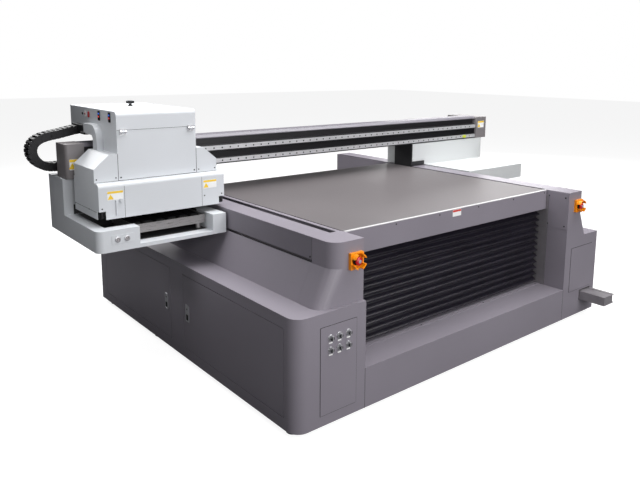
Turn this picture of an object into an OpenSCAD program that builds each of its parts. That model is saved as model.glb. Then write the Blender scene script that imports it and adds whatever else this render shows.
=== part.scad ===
// Flatbed UV printer. The table lifts in a bay between two cabinets, a gantry slides
// front to back over it, and the print carriage slides along the gantry beam.
// X runs left to right, Y runs front to back and Z is up. Sizes are in millimetres.
// Inside the modules x = 0 is the left cabinet's outer face and y = 0 its front face.

/* [Machine body] */
// Depth of the body from its front faces to its back
body_depth = 2392; // [2300:1:2900]
// Width of the bay between the two lower cabinets
bay_w = 1818; // [1500:1:2400]
// Width of the left lower cabinet
left_cab_w = 433; // [400:1:520]
// Width of the right lower cabinet
right_cab_w = 401; // [360:1:520]
// Height of the lower cabinets above their bottom edge
cab_h = 567; // [470:1:620]
// Height of the levelling feet
foot_h = 30; // [24:1:60]
// Height of the deck and of the raised table above the floor
deck_z = 911; // [880:1:1100]
// Thickness of the sheet metal covers
sheet = 3; // [2:0.5:4]
// Radius of the rounded upright corners at the front left
corner_r = 70; // [40:1:80]

/* [Rail housings] */
// Width of the left rail housing at the deck
left_tower_w = 192; // [185:1:230]
// Distance from the left face to the foot of the sloped skirt
skirt_foot = 150; // [120:1:170]
// Width of the right rail housing at the deck
right_tower_w = 154; // [145:1:200]
// Width of the right rail housing at its foot
right_foot_w = 224; // [210:1:300]
// Depth of the front end caps of the housings
cap_depth = 190; // [150:1:195]
// Setback of the left end cap behind the cabinet's front face
cap_setback = 23; // [10:1:40]
// Width of the deck slot for the left gantry leg
deck_slot_w = 41; // [34:1:60]
// Width of the strip between the deck slot and the table
strip_w = 25; // [15:1:30]
// Height of the side slot that the station's arm passes through
side_slot_h = 16; // [14:1:30]
// Distance from the deck down to the top of the side slot
side_slot_drop = 115; // [100:1:140]

/* [Doors and switches] */
// Height of the two cabinet doors
door_h = 447; // [380:1:450]
// Height of the door openings above the cabinet's bottom edge
door_sill = 60; // [30:1:80]
// Front end of the front door opening
door_front_y = 90; // [80:1:140]
// Width of the front door opening
door_front_w = 1010; // [800:1:1020]
// Space between the two door openings
door_pier = 160; // [120:1:200]
// Width of the rear door opening
door_rear_w = 1030; // [800:1:1035]
// Gap around each door
door_gap = 3; // [2:0.5:5]
// Width of the switch panel
panel_w = 225; // [200:1:260]
// Height of the switch panel
panel_h = 442; // [380:1:450]
// Radius of a rotary switch knob
knob_r = 14; // [10:1:18]

/* [Table and bellows] */
// Depth of the table top, front to back
table_depth = 1526; // [1300:1:1900]
// Thickness of the table top
table_t = 30; // [20:1:50]
// Gap between the table and each side of the bay
table_gap = 4; // [3:1:10]
// Setback of the apron behind the body's front face
apron_y = 168; // [150:1:180]
// Height of the apron
apron_h = 130; // [110:1:160]
// Height of the front ledge above the cabinets' bottom edge
ledge_h = 214; // [150:1:260]
// Downward travel of the table
lift_travel = 250; // [150:1:250]
// Number of pleats in the bellows
pleats = 13; // [8:1:20]
// Depth of the pleats
pleat_depth = 40; // [20:1:50]

/* [Gantry] */
// Distance from the body's front face to the gantry's front plane at rest
gantry_y = 1449; // [1400:1:1500]
// Clear height between the deck and the beam
beam_gap = 184; // [170:1:260]
// Height of the beam
beam_h = 195; // [190:1:220]
// Depth of the beam, front to back
beam_d = 136; // [130:1:160]
// Length of the beam beyond the left cabinet's outer face
beam_left = 400; // [395:1:420]
// Length of the beam beyond the right cabinet's outer face
beam_right = 438; // [420:1:500]
// Length of the left end cover
left_end_l = 105; // [90:1:180]
// Length of the right end cover
right_end_l = 145; // [120:1:180]

/* [Carriage] */
// Width of the carriage's lower cover
car_w = 737; // [720:1:760]
// Depth of the carriage's lower cover
car_d = 368; // [360:1:400]
// Height of the carriage's lower cover
car_h = 190; // [180:1:210]
// Clear height between the deck and the carriage
car_gap = 17; // [16:1:20]
// Distance from the left face out to the carriage's left side at rest
car_x = 468; // [460:1:470]
// Width of the head box
head_w = 459; // [440:1:470]
// Height of the head box
head_h = 367; // [350:1:420]
// Depth of the head box, front to back
head_d = 710; // [700:1:760]
// Width of each lamp cover
lamp_w = 130; // [125:1:131]
// Number of print heads
heads = 6; // [2:1:8]

/* [Service station] */
// Width of the service station
station_w = 746; // [740:1:748]
// Distance from the left face out to the station's left side
station_x = 517; // [510:1:520]
// Depth of the station's tray in front of its column
station_d = 495; // [480:1:520]
// Height of the station's tray
station_h = 115; // [100:1:116]

/* [Cable chain] */
// Width of the cable chain
chain_w = 100; // [60:1:100]
// Height of the chain's links
chain_t = 50; // [30:1:50]
// Radius of the chain's bend along its middle
chain_r = 105.5; // [90:0.5:106]

/* [Hidden] */
$fn = 48;
eps = 0.01;
fit = 0.05;          // radial clearance of a running fit
seat_gap = 0.3;      // gap between pieces of different bodies that rest on each other
panel_gap = 0.8;     // gap between neighbouring covers

// Cabinets and housings
right_x = left_cab_w + bay_w;
right_end = right_x + right_cab_w;
cab_top = foot_h + cab_h;
deck_under = deck_z - sheet;
tower_x = left_cab_w - left_tower_w;
tower_right = right_x + right_tower_w;
slot_top = deck_z - side_slot_drop;
slot_bottom = slot_top - side_slot_h;
strip_x = left_cab_w - 5 - strip_w;
deck_slot_x = strip_x - deck_slot_w;
slot_end = 20;
ledge_top = foot_h + ledge_h;
lean = sheet * 1.1;
flare_z = deck_z - 153;

// Table's place in the bay
table_x0 = left_cab_w + table_gap;
table_x1 = right_x - table_gap - 2;
table_y0 = apron_y + sheet;
table_y1 = table_y0 + table_depth;

// Frame
tube = 80;
frame_inset = 26;
post = 60;
rail_beam_top = deck_z - 141;
rail_beam_h = 120;
rail_beam_x = [tower_x + 39, right_x + 39];
end_inset = 45;
cross_y = [100, 330, table_y1 - 147, body_depth - 102];
foot_y = [cross_y[0], cross_y[2], cross_y[3]];
foot_x = [60, right_x / 2, right_end - 60];
rail_w = 30;
rail_h = 25;
rail_x = [for (x = rail_beam_x) x + 25];
track_w = 16;
track_h = 6;

// Doors and switch panel
door_pivot = 8;
door_depth = 20;
pin_r = 3;
pivot_x = sheet + pin_r + 0.5;
lug = 12;
pull_w = 45;
pull_h = 103;
pull_z = foot_h + 233;
pull_inset = 28;
panel_x = 146;
panel_z = foot_h + 55;
panel_t = 2;
knob_d = 16;
knob_x = [206, 260, 317];
knob_z = [foot_h + 437, foot_h + 377];
shaft_r = 5;

// Emergency stops: the left one is on the end cap, the right one on the tower
stop_guard_r = 41;
stop_guard_l = 44;
stop_button_r = 21;
stop_travel = 5;
stops = [[left_cab_w - 58, cap_setback, deck_z - 101], [right_x + 109, 0, deck_z - 93]];

// Table frame, bellows ledges and lift jacks
frame_h = 80;
frame_tube = 60;
table_under = deck_z - table_t;
frame_under = table_under - frame_h;
frame_x = [table_x0 + 20, table_x1 - 20];
frame_y = [table_y0 + 15, table_y1 - 20];
frame_bars = 5;
strip_t = 3;
strip_y = 184;
strip_d = 66;
rear_ledge_y = [frame_y[1] - 67, frame_y[1] + 5];
jack_x = [left_cab_w + 190, right_x - 190];
jack_y = [cross_y[1], cross_y[2]];
jack_r = 40;
jack_bore_r = 20;
jack_top = foot_h + 470;
screw_end = foot_h + tube + lift_travel + 10;

// Gantry
beam_z = deck_z + beam_gap;
beam_top = beam_z + beam_h;
beam_y = gantry_y + 15;
beam_x0 = -beam_left;
beam_x1 = right_end + beam_right;
end_wall = 4;
end_radius = 18;
right_end_d = 331;
right_end_top = beam_top - 8;
left_end_d = beam_d + 15;
recess_d = 25;
recess_z = [beam_z + 130, beam_z + 173];
xrail_h = 26;
xrail_t = 18;
xrail_z = [beam_z + 11, beam_z + 95];
xrail_inset = 10;
leg_y = [gantry_y - 4, gantry_y + 191];
saddle_y1 = gantry_y + 251;
saddle_z = rail_beam_top + rail_h + 35;
saddle_t = 15;
left_leg_x = [deck_slot_x + 8, deck_slot_x + 33];
right_leg_x = [right_x + 6, right_x + 17];
right_cover_x = right_x + 21;
arm_x = tower_x + 9;
arm_t = 12;
flange_h = 35;
flange_l = 155;
riser_z = deck_z + 4;
riser_x = [right_cover_x - 1, beam_x1 + 83];
riser_d = 291;
side_tray_x = [tower_right + 25, beam_x1 + 40];
side_tray_y = gantry_y - 474;
side_tray_h = 115;
chain_tray_d = 142;
chain_tray_t = 8;

// Cable chain along the beam
chain_y = beam_y + beam_d + 22;
lower_run_z = beam_z + 24;
upper_run_z = lower_run_z + 2 * chain_r;
bend_z = lower_run_z + chain_t / 2 + chain_r;
head_x = -car_x + 129;
run_end_x = head_x - 2;
bend_x = head_x - 179;
fixed_x = bend_x + 1553;

// Carriage
car_x0 = -car_x;
car_x1 = car_x0 + car_w;
car_y1 = gantry_y - 11;
car_y0 = car_y1 - car_d;
car_z0 = deck_z + car_gap;
car_z1 = car_z0 + car_h;
car_round = 22;
seam_x = [car_x0 + 138, car_x1 - 144];
notch_w = 35;
notch_h = 45;
head_x1 = head_x + head_w;
head_y0 = car_y0 + 50;
head_y1 = head_y0 + head_d;
head_mid_y = car_y1 - 28;
head_top = car_z1 + head_h;
head_rear_z = beam_top + 45;
head_round = 24;
cover_seam_z = car_z1 + 261;
cover_side = 9;
hinge_axis_y = head_y0 - 8.5;
hinge_axis_z = cover_seam_z;
hinge_r = 8;
hinge_l = 36;
hinge_x = [head_x + 15, head_x1 - 15 - hinge_l];
back_plate_t = 14;
base_plate_z = car_z0 + 32;
base_plate_t = 12;
lamp_z = [car_z1 + 72, car_z1 + 144];
lamp_slope = 84;
lamp_d = 300;
head_block = [44, 150, 110];
head_pitch = 66;
slide_l = 80;
slide_x = [head_x + 39, head_x1 - 39 - slide_l];
elbow_w = 36;
elbow_t = 58;
elbow_r = 82;
elbow_top = upper_run_z + chain_t + 20;
elbow_y = [head_y0 + 197, head_y0 + 395];
flap_w = 45;
flap_h = 80;
flap_x = seam_x[0] - 3 - flap_w;
flap_z = car_z0 + 18;
flap_knob_r = 10;
flap_barrel_r = 3;
flap_knob = [27, 78];
rocker_y = car_y1 + 82;
rocker_z = head_top - 38;
rocker_w = 20;
rocker_h = 30;
rocker_pin_r = 5;
top_knob = [head_x + 259, car_y1 + 112];
top_knob_r = 21;
top_knob_h = 32;

// Service station
st_x0 = -station_x;
st_x1 = st_x0 + station_w;
st_y1 = gantry_y + 31;
st_y0 = st_y1 - station_d;
st_z1 = deck_z - 21;
st_z0 = st_z1 - station_h;
column_d = 248;
st_round = 35;
sill_z = st_z0 + 20;
pocket_x = [st_x0 + 67, st_x1 - 84];
pocket_y = [st_y0 + 75, st_y1 - 3];
notch_x = [st_x0 + 227, st_x1 - 84];
cap_x = [notch_x[0] + 5, notch_x[1] - 5];
cap_y = [pocket_y[0] + 12, pocket_y[0] + 330];
cap_z = [sill_z + 35, sill_z + 83];
guide_r = 8;
guide_top = sill_z + 73;

// Cable trays beside the right cabinet
tray_x = right_x + 214;
tray_w = 99;
tray_z = foot_h + 102;
tray_h = 60;
tray_front = -187;
tray_back = cross_y[1] + tube / 2;
channel_w = 28;
channel_gap = 6;

// Middle of the whole machine, which is the origin
box_x = [bend_x - chain_r - chain_t / 2, beam_x1 + right_end_l];
origin_x = (box_x[0] + box_x[1]) / 2;
origin_y = (tray_front + body_depth) / 2;

// Colours
dark_grey = [0.36, 0.35, 0.38];
mid_grey = [0.50, 0.48, 0.51];
light_grey = [0.80, 0.81, 0.83];
white_paint = [0.92, 0.92, 0.93];
black = [0.06, 0.06, 0.07];
steel = [0.72, 0.73, 0.75];

// Moves a piece from the body's corner to the machine's own frame
module placed() {
    translate([-origin_x, -origin_y, 0]) children();
}

// Block between two opposite corners
module block(low, high) {
    translate(low) cube([for (i = [0:2]) high[i] - low[i]]);
}

// Upright cylinder from z0 to z1
module post_at(x, y, z0, z1, r) {
    translate([x, y, z0]) cylinder(r = r, h = z1 - z0);
}

// Cylinder along +Y from y0 to y1
module rod_y(x, z, y0, y1, r) {
    translate([x, y0, z]) rotate([-90, 0, 0]) cylinder(r = r, h = y1 - y0);
}

// Cylinder along +X from x0 to x1
module rod_x(y, z, x0, x1, r) {
    translate([x0, y, z]) rotate([0, 90, 0]) cylinder(r = r, h = x1 - x0);
}

// Rectangle between two corners whose front left corner is rounded
module rounded_plan(low, high, r) {
    difference() {
        translate(low) square([high[0] - low[0], high[1] - low[1]]);
        translate(low) square(r);
    }
    translate([low[0] + r, low[1] + r]) intersection() {
        circle(r = r);
        translate([-r, -r]) square(r);
    }
}

// Outline in the Y-Z plane, extruded along X from x0 to x1
module along_x(x0, x1) {
    translate([x0, 0, 0]) rotate([90, 0, 90]) linear_extrude(x1 - x0) children();
}

// Outline in the X-Z plane, extruded along Y from y0 to y1
module along_y(y0, y1) {
    translate([0, y1, 0]) rotate([90, 0, 0]) linear_extrude(y1 - y0) children();
}

// ---------------------------------------------------------------- base

// Welded frame: cross tubes at the floor, posts and the two rail beams
module base_frame() {
    color(mid_grey) placed() {
        for (y = cross_y)
            block([frame_inset, y - tube / 2, foot_h],
                  [right_end - frame_inset, y + tube / 2, foot_h + tube]);
        for (x = rail_beam_x) {
            block([x, end_inset, rail_beam_top - rail_beam_h],
                  [x + tube, body_depth - end_inset, rail_beam_top]);
            for (y = cross_y)
                block([x + 10, y - post / 2, foot_h + tube - eps],
                      [x + 10 + post, y + post / 2, rail_beam_top - rail_beam_h + eps]);
        }
    }
}

// Levelling feet: a pad, a threaded stud and a lock nut
module leveling_feet() {
    pad_r = 35;
    pad_h = 12;
    nut_h = 8;
    color(black) placed() for (x = foot_x, y = foot_y) {
        post_at(x, y, 0, pad_h, pad_r);
        post_at(x, y, pad_h - eps, foot_h, 8);
        translate([x, y, foot_h - nut_h]) cylinder(r = 15, h = nut_h, $fn = 6);
    }
}

// Notches for the cross tubes in a cabinet's bay wall, whose left face is at x
module tube_notches(x) {
    for (y = cross_y)
        block([x - 1, y - tube / 2, foot_h - 1], [x + sheet + 1, y + tube / 2, foot_h + tube]);
}

// Opening for a door in the left cabinet's outer face
module door_opening(y, w) {
    block([-1, y, foot_h + door_sill], [sheet + 1, y + w, foot_h + door_sill + door_h]);
}

// Lug and pin that carry one end of a door's hinge line; up is 1 below the door and -1 above it
module hinge_lug(y, up) {
    edge = up > 0 ? foot_h + door_sill : foot_h + door_sill + door_h;
    block([sheet - eps, y - lug / 2, min(edge, edge - up * lug)],
          [pivot_x + lug / 2, y + lug / 2, max(edge, edge - up * lug)]);
    post_at(pivot_x, y, min(edge - up, edge + up * 10), max(edge - up, edge + up * 10), pin_r);
}

front_pivot_y = door_front_y + door_gap + door_pivot;
rear_door_y = door_front_y + door_front_w + door_pier;
rear_pivot_y = rear_door_y + door_rear_w - door_gap - door_pivot;

// Left lower cabinet with door openings, and the bay wall that rises to the deck
module left_cabinet() {
    color(mid_grey) placed() {
        difference() {
            translate([0, 0, foot_h]) linear_extrude(cab_h)
                rounded_plan([0, 0], [left_cab_w, body_depth], corner_r);
            translate([0, 0, foot_h - 1]) linear_extrude(cab_h + 1 - sheet)
                rounded_plan([sheet, sheet], [left_cab_w - sheet, body_depth - sheet], corner_r - sheet);
            block([skirt_foot + 20, cap_setback + 20, foot_h],
                  [left_cab_w - sheet, body_depth - sheet, cab_top + 1]);
            door_opening(door_front_y, door_front_w);
            door_opening(rear_door_y, door_rear_w);
            block([panel_x + 12, -1, panel_z + 12],
                  [panel_x + panel_w - 12, sheet + 1, panel_z + panel_h - 12]);
            tube_notches(left_cab_w - sheet);
        }
        for (up = [1, -1]) {
            hinge_lug(front_pivot_y, up);
            hinge_lug(rear_pivot_y, up);
        }
        block([left_cab_w - sheet, cap_depth, cab_top - eps], [left_cab_w, body_depth, deck_under]);
        along_y(body_depth - sheet, body_depth) polygon([
            [left_cab_w, cab_top - eps], [left_cab_w, deck_under], [tower_x + sheet, deck_under],
            [tower_x + sheet, slot_top], [tower_x + lean, slot_bottom], [skirt_foot + lean, cab_top - eps]
        ]);
    }
}

// Solid form of the left end cap, grown inwards by inset on its outer sides
module cap_form(inset, z1) {
    low_x = skirt_foot + inset;
    front = cap_setback + inset;
    r = corner_r - inset;
    back = cap_depth + inset;
    inner = left_cab_w - inset;
    hull() {
        translate([0, 0, cab_top]) linear_extrude(eps)
            rounded_plan([low_x, front], [inner, back], r, $fn = 32);
        translate([0, 0, slot_bottom]) linear_extrude(eps)
            rounded_plan([tower_x + inset, front], [inner, back], r, $fn = 32);
    }
    translate([0, 0, slot_bottom]) linear_extrude(z1 - slot_bottom)
        rounded_plan([tower_x + inset, front], [inner, back], r, $fn = 32);
}

// Front end cap of the left housing, conical at its foot and upright above
module left_front_cap() {
    color(mid_grey) placed() difference() {
        cap_form(0, deck_under);
        translate([0, 0, -eps]) cap_form(sheet, deck_z);
    }
}

// Sloped skirt between the cabinet top and the side slot
module left_skirt() {
    color(mid_grey) placed() along_y(cap_depth + panel_gap, body_depth) polygon([
        [skirt_foot, cab_top], [skirt_foot + lean, cab_top],
        [tower_x + lean, slot_bottom], [tower_x, slot_bottom]
    ]);
}

// Upright panel above the side slot
module left_side_panel() {
    color(dark_grey) placed()
        block([tower_x, cap_depth + panel_gap, slot_top], [tower_x + sheet, body_depth, deck_under]);
}

// Deck over the left housing with the long slot for the gantry leg
module left_top_cover() {
    color(light_grey) placed() translate([0, 0, deck_under]) linear_extrude(sheet) difference() {
        rounded_plan([tower_x, cap_setback], [left_cab_w, body_depth], corner_r);
        translate([deck_slot_x, cap_depth + 10])
            square([deck_slot_w, body_depth - cap_depth - 10 - slot_end]);
        translate([left_cab_w - 5, cap_depth + 10]) square([6, body_depth]);
    }
}

// Panel that carries the six rotary switches
module switch_panel() {
    color(mid_grey) placed() difference() {
        block([panel_x, -panel_t, panel_z], [panel_x + panel_w, 0, panel_z + panel_h]);
        for (x = knob_x, z = knob_z)
            rod_y(x, z, -panel_t - 1, 1, shaft_r + fit);
    }
}

// One rotary switch: a round knob, a grip bar and a shaft through the panel
module rotary_knob(x, z) {
    grip_w = 7;
    face = -panel_t - seat_gap;
    color(black) placed() {
        rod_y(x, z, face - 6, face, knob_r);
        block([x - grip_w / 2, face - knob_d, z - knob_r + 1], [x + grip_w / 2, face - 5, z + knob_r - 1]);
        rod_y(x, z, face - 1, 12, shaft_r);
    }
}

// Folded covers along the bay's front and rear, with the strip that clamps the front bellows
module bay_ledges() {
    color(mid_grey) placed() {
        block([left_cab_w, 0, foot_h], [right_x, sheet, ledge_top]);
        block([left_cab_w, 0, ledge_top - sheet], [right_x, strip_y + strip_d, ledge_top]);
        block([left_cab_w + 8, strip_y, ledge_top - eps],
              [right_x - 8, strip_y + strip_d, ledge_top + strip_t]);
        block([left_cab_w, rear_ledge_y[0], ledge_top - sheet], [right_x, rear_ledge_y[1], ledge_top]);
        block([left_cab_w, rear_ledge_y[1] - sheet, foot_h], [right_x, rear_ledge_y[1], ledge_top]);
    }
}

// Pleated wall with its front folds at y0, between the ledge and the table frame
module pleated_wall(y0, z0, z1) {
    cloth = 2;
    step = (z1 - z0) / pleats;
    front = [for (i = [0:pleats]) each i < pleats ?
        [[y0 + pleat_depth, z0 + i * step], [y0, z0 + (i + 0.5) * step]] : [[y0 + pleat_depth, z1]]];
    back = [for (i = [len(front) - 1:-1:0]) [front[i][0] + cloth, front[i][1]]];
    along_x(table_x0 + 4, table_x1 - 4) polygon(concat(front, back));
}

// Bellows that close the bay under the table, front and rear
module bellows() {
    color(black) placed() {
        pleated_wall(strip_y + 18, ledge_top + strip_t + seat_gap, frame_under - seat_gap);
        pleated_wall(rear_ledge_y[0] + 12, ledge_top + seat_gap, frame_under - seat_gap);
    }
}

// Right lower cabinet and the bay wall that rises to the deck
module right_cabinet() {
    hole = 5;
    color(mid_grey) placed() {
        difference() {
            block([right_x, 0, foot_h], [right_end, body_depth, cab_top]);
            block([right_x + sheet, sheet, foot_h - 1],
                  [right_end - sheet, body_depth - sheet, cab_top - sheet]);
            block([right_x + sheet, sheet, foot_h],
                  [right_x + right_foot_w - 20, body_depth - sheet, cab_top + 1]);
            block([tray_x - hole, -1, tray_z - hole],
                  [tray_x + tray_w + channel_gap + channel_w + hole, sheet + 1,
                   tray_z + tray_h + hole + 3]);
            tube_notches(right_x);
        }
        block([right_x, cap_depth, cab_top - eps], [right_x + sheet, body_depth, deck_under]);
        along_y(body_depth - sheet, body_depth) polygon([
            [right_x, cab_top - eps], [right_x, deck_under], [tower_right - sheet, deck_under],
            [tower_right - sheet, flare_z], [right_x + right_foot_w - lean, cab_top - eps]
        ]);
    }
}

// Points of the right housing's outline in the X-Z plane, from the foot up
function right_outline(inset) = [
    [right_x + inset, cab_top], [right_x + right_foot_w - inset, cab_top],
    [tower_right - inset, flare_z], [tower_right - inset, deck_z + 2 - inset],
    [right_x + inset, deck_z + 2 - inset]
];

// Front tower of the right housing, open to the back
module right_tower() {
    color(mid_grey) placed() difference() {
        along_y(0, cap_depth) polygon(right_outline(0));
        along_y(sheet, cap_depth + 1) polygon(right_outline(sheet));
        block([right_x + sheet, sheet, cab_top - 1],
              [right_x + right_foot_w - sheet * 1.5, cap_depth + 1, cab_top + 1]);
    }
}

// Long folded cover on the outside of the right housing
module right_side_cover() {
    color(mid_grey) placed() along_y(cap_depth + panel_gap, body_depth) polygon([
        [right_x + right_foot_w - lean, cab_top], [right_x + right_foot_w, cab_top],
        [tower_right, flare_z], [tower_right, deck_under],
        [tower_right - sheet, deck_under], [tower_right - sheet, flare_z]
    ]);
}

// Screwed plate on the tower's bay side and access panel on the cabinet's front
module right_panels() {
    plate_z = deck_z - 248;
    edge = 8;
    color(mid_grey) placed() {
        block([right_x - panel_t, edge, plate_z], [right_x, apron_y - edge, deck_z - 2]);
        block([right_x + 71, -panel_t, foot_h + 183], [right_x + 339, 0, foot_h + 490]);
    }
}

// Deck over the right housing; the gap beside it is the right leg's slot
module right_top_cover() {
    color(light_grey) placed() {
        block([right_cover_x, cap_depth + panel_gap, deck_under], [tower_right, body_depth, deck_z]);
        block([right_x, body_depth - slot_end, deck_under], [right_cover_x + eps, body_depth, deck_z]);
    }
}

// Linear rails that carry the gantry
module y_rails() {
    color(steel) placed() for (x = rail_x)
        block([x, end_inset + 10, rail_beam_top],
              [x + rail_w, body_depth - end_inset - 10, rail_beam_top + rail_h]);
}

// Magnet tracks of the gantry's linear motors
module y_motor_tracks() {
    color(black) placed() for (x = rail_x)
        block([x + rail_w + 5, end_inset + 10, rail_beam_top],
              [x + rail_w + 5 + track_w, body_depth - end_inset - 10, rail_beam_top + track_h]);
}

// Square cable duct and open channel that come out of the right cabinet's front
module cable_trays() {
    wall = 3;
    channel_x = tray_x + tray_w + channel_gap;
    color(steel) placed() {
        difference() {
            block([tray_x, tray_front, tray_z], [tray_x + tray_w, tray_back, tray_z + tray_h]);
            block([tray_x + wall, tray_front + wall, tray_z + wall],
                  [tray_x + tray_w - wall, tray_back + 1, tray_z + tray_h - wall]);
        }
        difference() {
            block([channel_x, tray_front, tray_z], [channel_x + channel_w, tray_back, tray_z + tray_h]);
            block([channel_x + wall, tray_front - 1, tray_z + wall],
                  [channel_x + channel_w + 1, tray_back + 1, tray_z + tray_h - wall]);
        }
        for (y = [cross_y[0], cross_y[1]])
            block([tray_x, y - 25, foot_h + tube], [channel_x + channel_w, y + 25, tray_z + eps]);
    }
}

// Jack columns with a plain bore for the lift screws, each with its motor
module lift_jacks() {
    color(dark_grey) placed() for (x = jack_x, y = jack_y) difference() {
        union() {
            post_at(x, y, foot_h + tube, jack_top, jack_r);
            block([x - 130, y - 35, foot_h + tube], [x, y + 35, foot_h + tube + 70]);
        }
        post_at(x, y, screw_end - lift_travel - 4, jack_top + 1, jack_bore_r + fit);
    }
}

// One emergency stop's castellated guard, with its back on the panel at y
module stop_guard(x, y, z) {
    ring = 6;
    notch = 30;
    difference() {
        union() {
            rod_y(x, z, y - stop_guard_l, y, stop_guard_r);
            block([x - stop_guard_r, y - 18, z - stop_guard_r], [x + stop_guard_r, y, z + stop_guard_r]);
        }
        rod_y(x, z, y - stop_guard_l - 1, y - ring, stop_guard_r - ring);
        rod_y(x, z, y - stop_guard_l - 1, y + 1, shaft_r * 2 + fit);
        for (a = [0, 90])
            translate([x, 0, z]) rotate([0, a, 0])
                block([-notch / 2, y - stop_guard_l - 1, -stop_guard_r - 1],
                      [notch / 2, y - stop_guard_l + 26, stop_guard_r + 1]);
    }
}

// Guards around both emergency stops
module estop_guards() {
    color("orange") placed() for (s = stops) stop_guard(s[0], s[1], s[2]);
}

// One mushroom button and its plunger
module stop_button(s) {
    color("firebrick") placed() {
        rod_y(s[0], s[2], s[1] - 38, s[1] - 24, stop_button_r);
        rod_y(s[0], s[2], s[1] - 25, s[1] - 0.5 - stop_travel, shaft_r * 2);
    }
}

// Screw heads on the tower plate, the bellows strip and the end cap
module cover_screws() {
    r = 5;
    h = 2;
    color(black) placed() {
        for (y = [24, apron_y - 20], z = [deck_z - 34, deck_z - 228])
            rod_x(y, z, right_x - panel_t - h, right_x - panel_t, r);
        for (i = [0:3])
            post_at(left_cab_w + 40 + i * (bay_w - 80) / 3, strip_y + 8,
                    ledge_top + strip_t, ledge_top + strip_t + h, r);
        rod_x(cap_depth + 14, slot_top + 12, tower_x - h, tower_x, r);
    }
}

// ---------------------------------------------------------------- table

// Flat table plate with the trim along its front edge
module table_top() {
    trim = 10;
    color(mid_grey) placed() {
        block([table_x0, table_y0, table_under], [table_x1, table_y1, deck_z]);
        block([table_x0, apron_y, deck_under], [table_x1, table_y0 + trim, deck_z + 1]);
    }
}

// Grid of tubes under the table
module table_frame() {
    across = (frame_x[1] - frame_x[0] - frame_tube) / (frame_bars - 1);
    along = (frame_y[1] - frame_y[0] - frame_tube) / (frame_bars - 1);
    color(dark_grey) placed() for (i = [0:frame_bars - 1]) {
        x = frame_x[0] + i * across;
        y = frame_y[0] + i * along;
        block([x, frame_y[0], frame_under], [x + frame_tube, frame_y[1], table_under]);
        block([frame_x[0], y, frame_under], [frame_x[1], y + frame_tube, table_under]);
    }
}

// Panel that hangs in front of the table's edge
module apron() {
    color(mid_grey) placed()
        block([table_x0, apron_y, deck_z - apron_h], [table_x1, table_y0, deck_under]);
}

// Lift screws with a flange against the frame
module lift_screws() {
    color(steel) placed() for (x = jack_x, y = jack_y) {
        post_at(x, y, screw_end, frame_under, jack_bore_r);
        post_at(x, y, frame_under - 10, frame_under, jack_bore_r * 2);
    }
}

// ---------------------------------------------------------------- gantry

// Hollow beam with a long recess above its rails
module beam() {
    wall = 10;
    chamfer = 16;
    color(dark_grey) placed() along_x(beam_x0, beam_x1) difference() {
        polygon([
            [beam_y, beam_z], [beam_y + beam_d, beam_z], [beam_y + beam_d, beam_top - chamfer],
            [beam_y + beam_d - chamfer, beam_top],
            [beam_y + chamfer, beam_top], [beam_y, beam_top - chamfer],
            [beam_y, recess_z[1]], [beam_y + recess_d, recess_z[1]],
            [beam_y + recess_d, recess_z[0]], [beam_y, recess_z[0]]
        ]);
        translate([beam_y + recess_d + wall, beam_z + wall])
            square([beam_d - recess_d - 2 * wall, beam_h - 2 * wall]);
    }
}

// Pair of linear rails on the beam's front
module x_rails() {
    color(steel) placed() for (z = xrail_z)
        block([beam_x0 + xrail_inset, beam_y - xrail_t, z], [beam_x1 - xrail_inset, beam_y, z + xrail_h]);
}

// Magnet track between the rails
module x_motor_track() {
    color(black) placed()
        block([beam_x0 + xrail_inset, beam_y - 8, xrail_z[0] + xrail_h + 9],
              [beam_x1 - xrail_inset, beam_y, xrail_z[1] - 9]);
}

// Covers on both ends of the beam, open underneath
module beam_end_covers() {
    color(dark_grey) placed() {
        difference() {
            translate([0, 0, beam_z]) linear_extrude(beam_h)
                rounded_plan([beam_x0 - left_end_l, gantry_y], [beam_x0, gantry_y + left_end_d], end_radius);
            translate([0, 0, beam_z - 1]) linear_extrude(beam_h + 1 - end_wall)
                rounded_plan([beam_x0 - left_end_l + end_wall, gantry_y + end_wall],
                             [beam_x0 - end_wall, gantry_y + left_end_d - end_wall],
                             end_radius - end_wall);
        }
        difference() {
            block([beam_x1, gantry_y, beam_z],
                  [beam_x1 + right_end_l, gantry_y + right_end_d, right_end_top]);
            block([beam_x1 + end_wall, gantry_y + end_wall, beam_z - 1],
                  [beam_x1 + right_end_l - end_wall, gantry_y + right_end_d - end_wall,
                   right_end_top - end_wall]);
        }
    }
}

// Legs that carry the beam through the deck slots, with saddles on the slides
module gantry_legs() {
    color(black) placed() {
        block([arm_x, leg_y[0], saddle_z], [left_leg_x[1], saddle_y1, saddle_z + saddle_t]);
        block([left_leg_x[0], leg_y[0], saddle_z], [left_leg_x[1], leg_y[1], beam_z]);
        block([arm_x, leg_y[0], slot_bottom + 3], [arm_x + arm_t, saddle_y1, saddle_z + 1]);
        block([st_x1, leg_y[0], slot_bottom + 3], [arm_x + arm_t, saddle_y1, slot_top - 3]);
        block([right_leg_x[0], leg_y[0], saddle_z], [tower_right - 15, saddle_y1, saddle_z + saddle_t]);
        block([right_leg_x[0], leg_y[0], saddle_z], [right_leg_x[1], leg_y[1], beam_z]);
        block([right_leg_x[0], gantry_y - 5, riser_z],
              [right_leg_x[0] + flange_l, gantry_y, riser_z + flange_h]);
    }
}

// White box under the beam's right end
module riser() {
    color(white_paint) placed() difference() {
        block([riser_x[0], gantry_y, riser_z], [riser_x[1], gantry_y + riser_d, beam_z]);
        block([riser_x[0] + sheet, gantry_y + sheet, riser_z - 1],
              [riser_x[1] - sheet, gantry_y + riser_d - sheet, beam_z - sheet]);
    }
}

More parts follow.
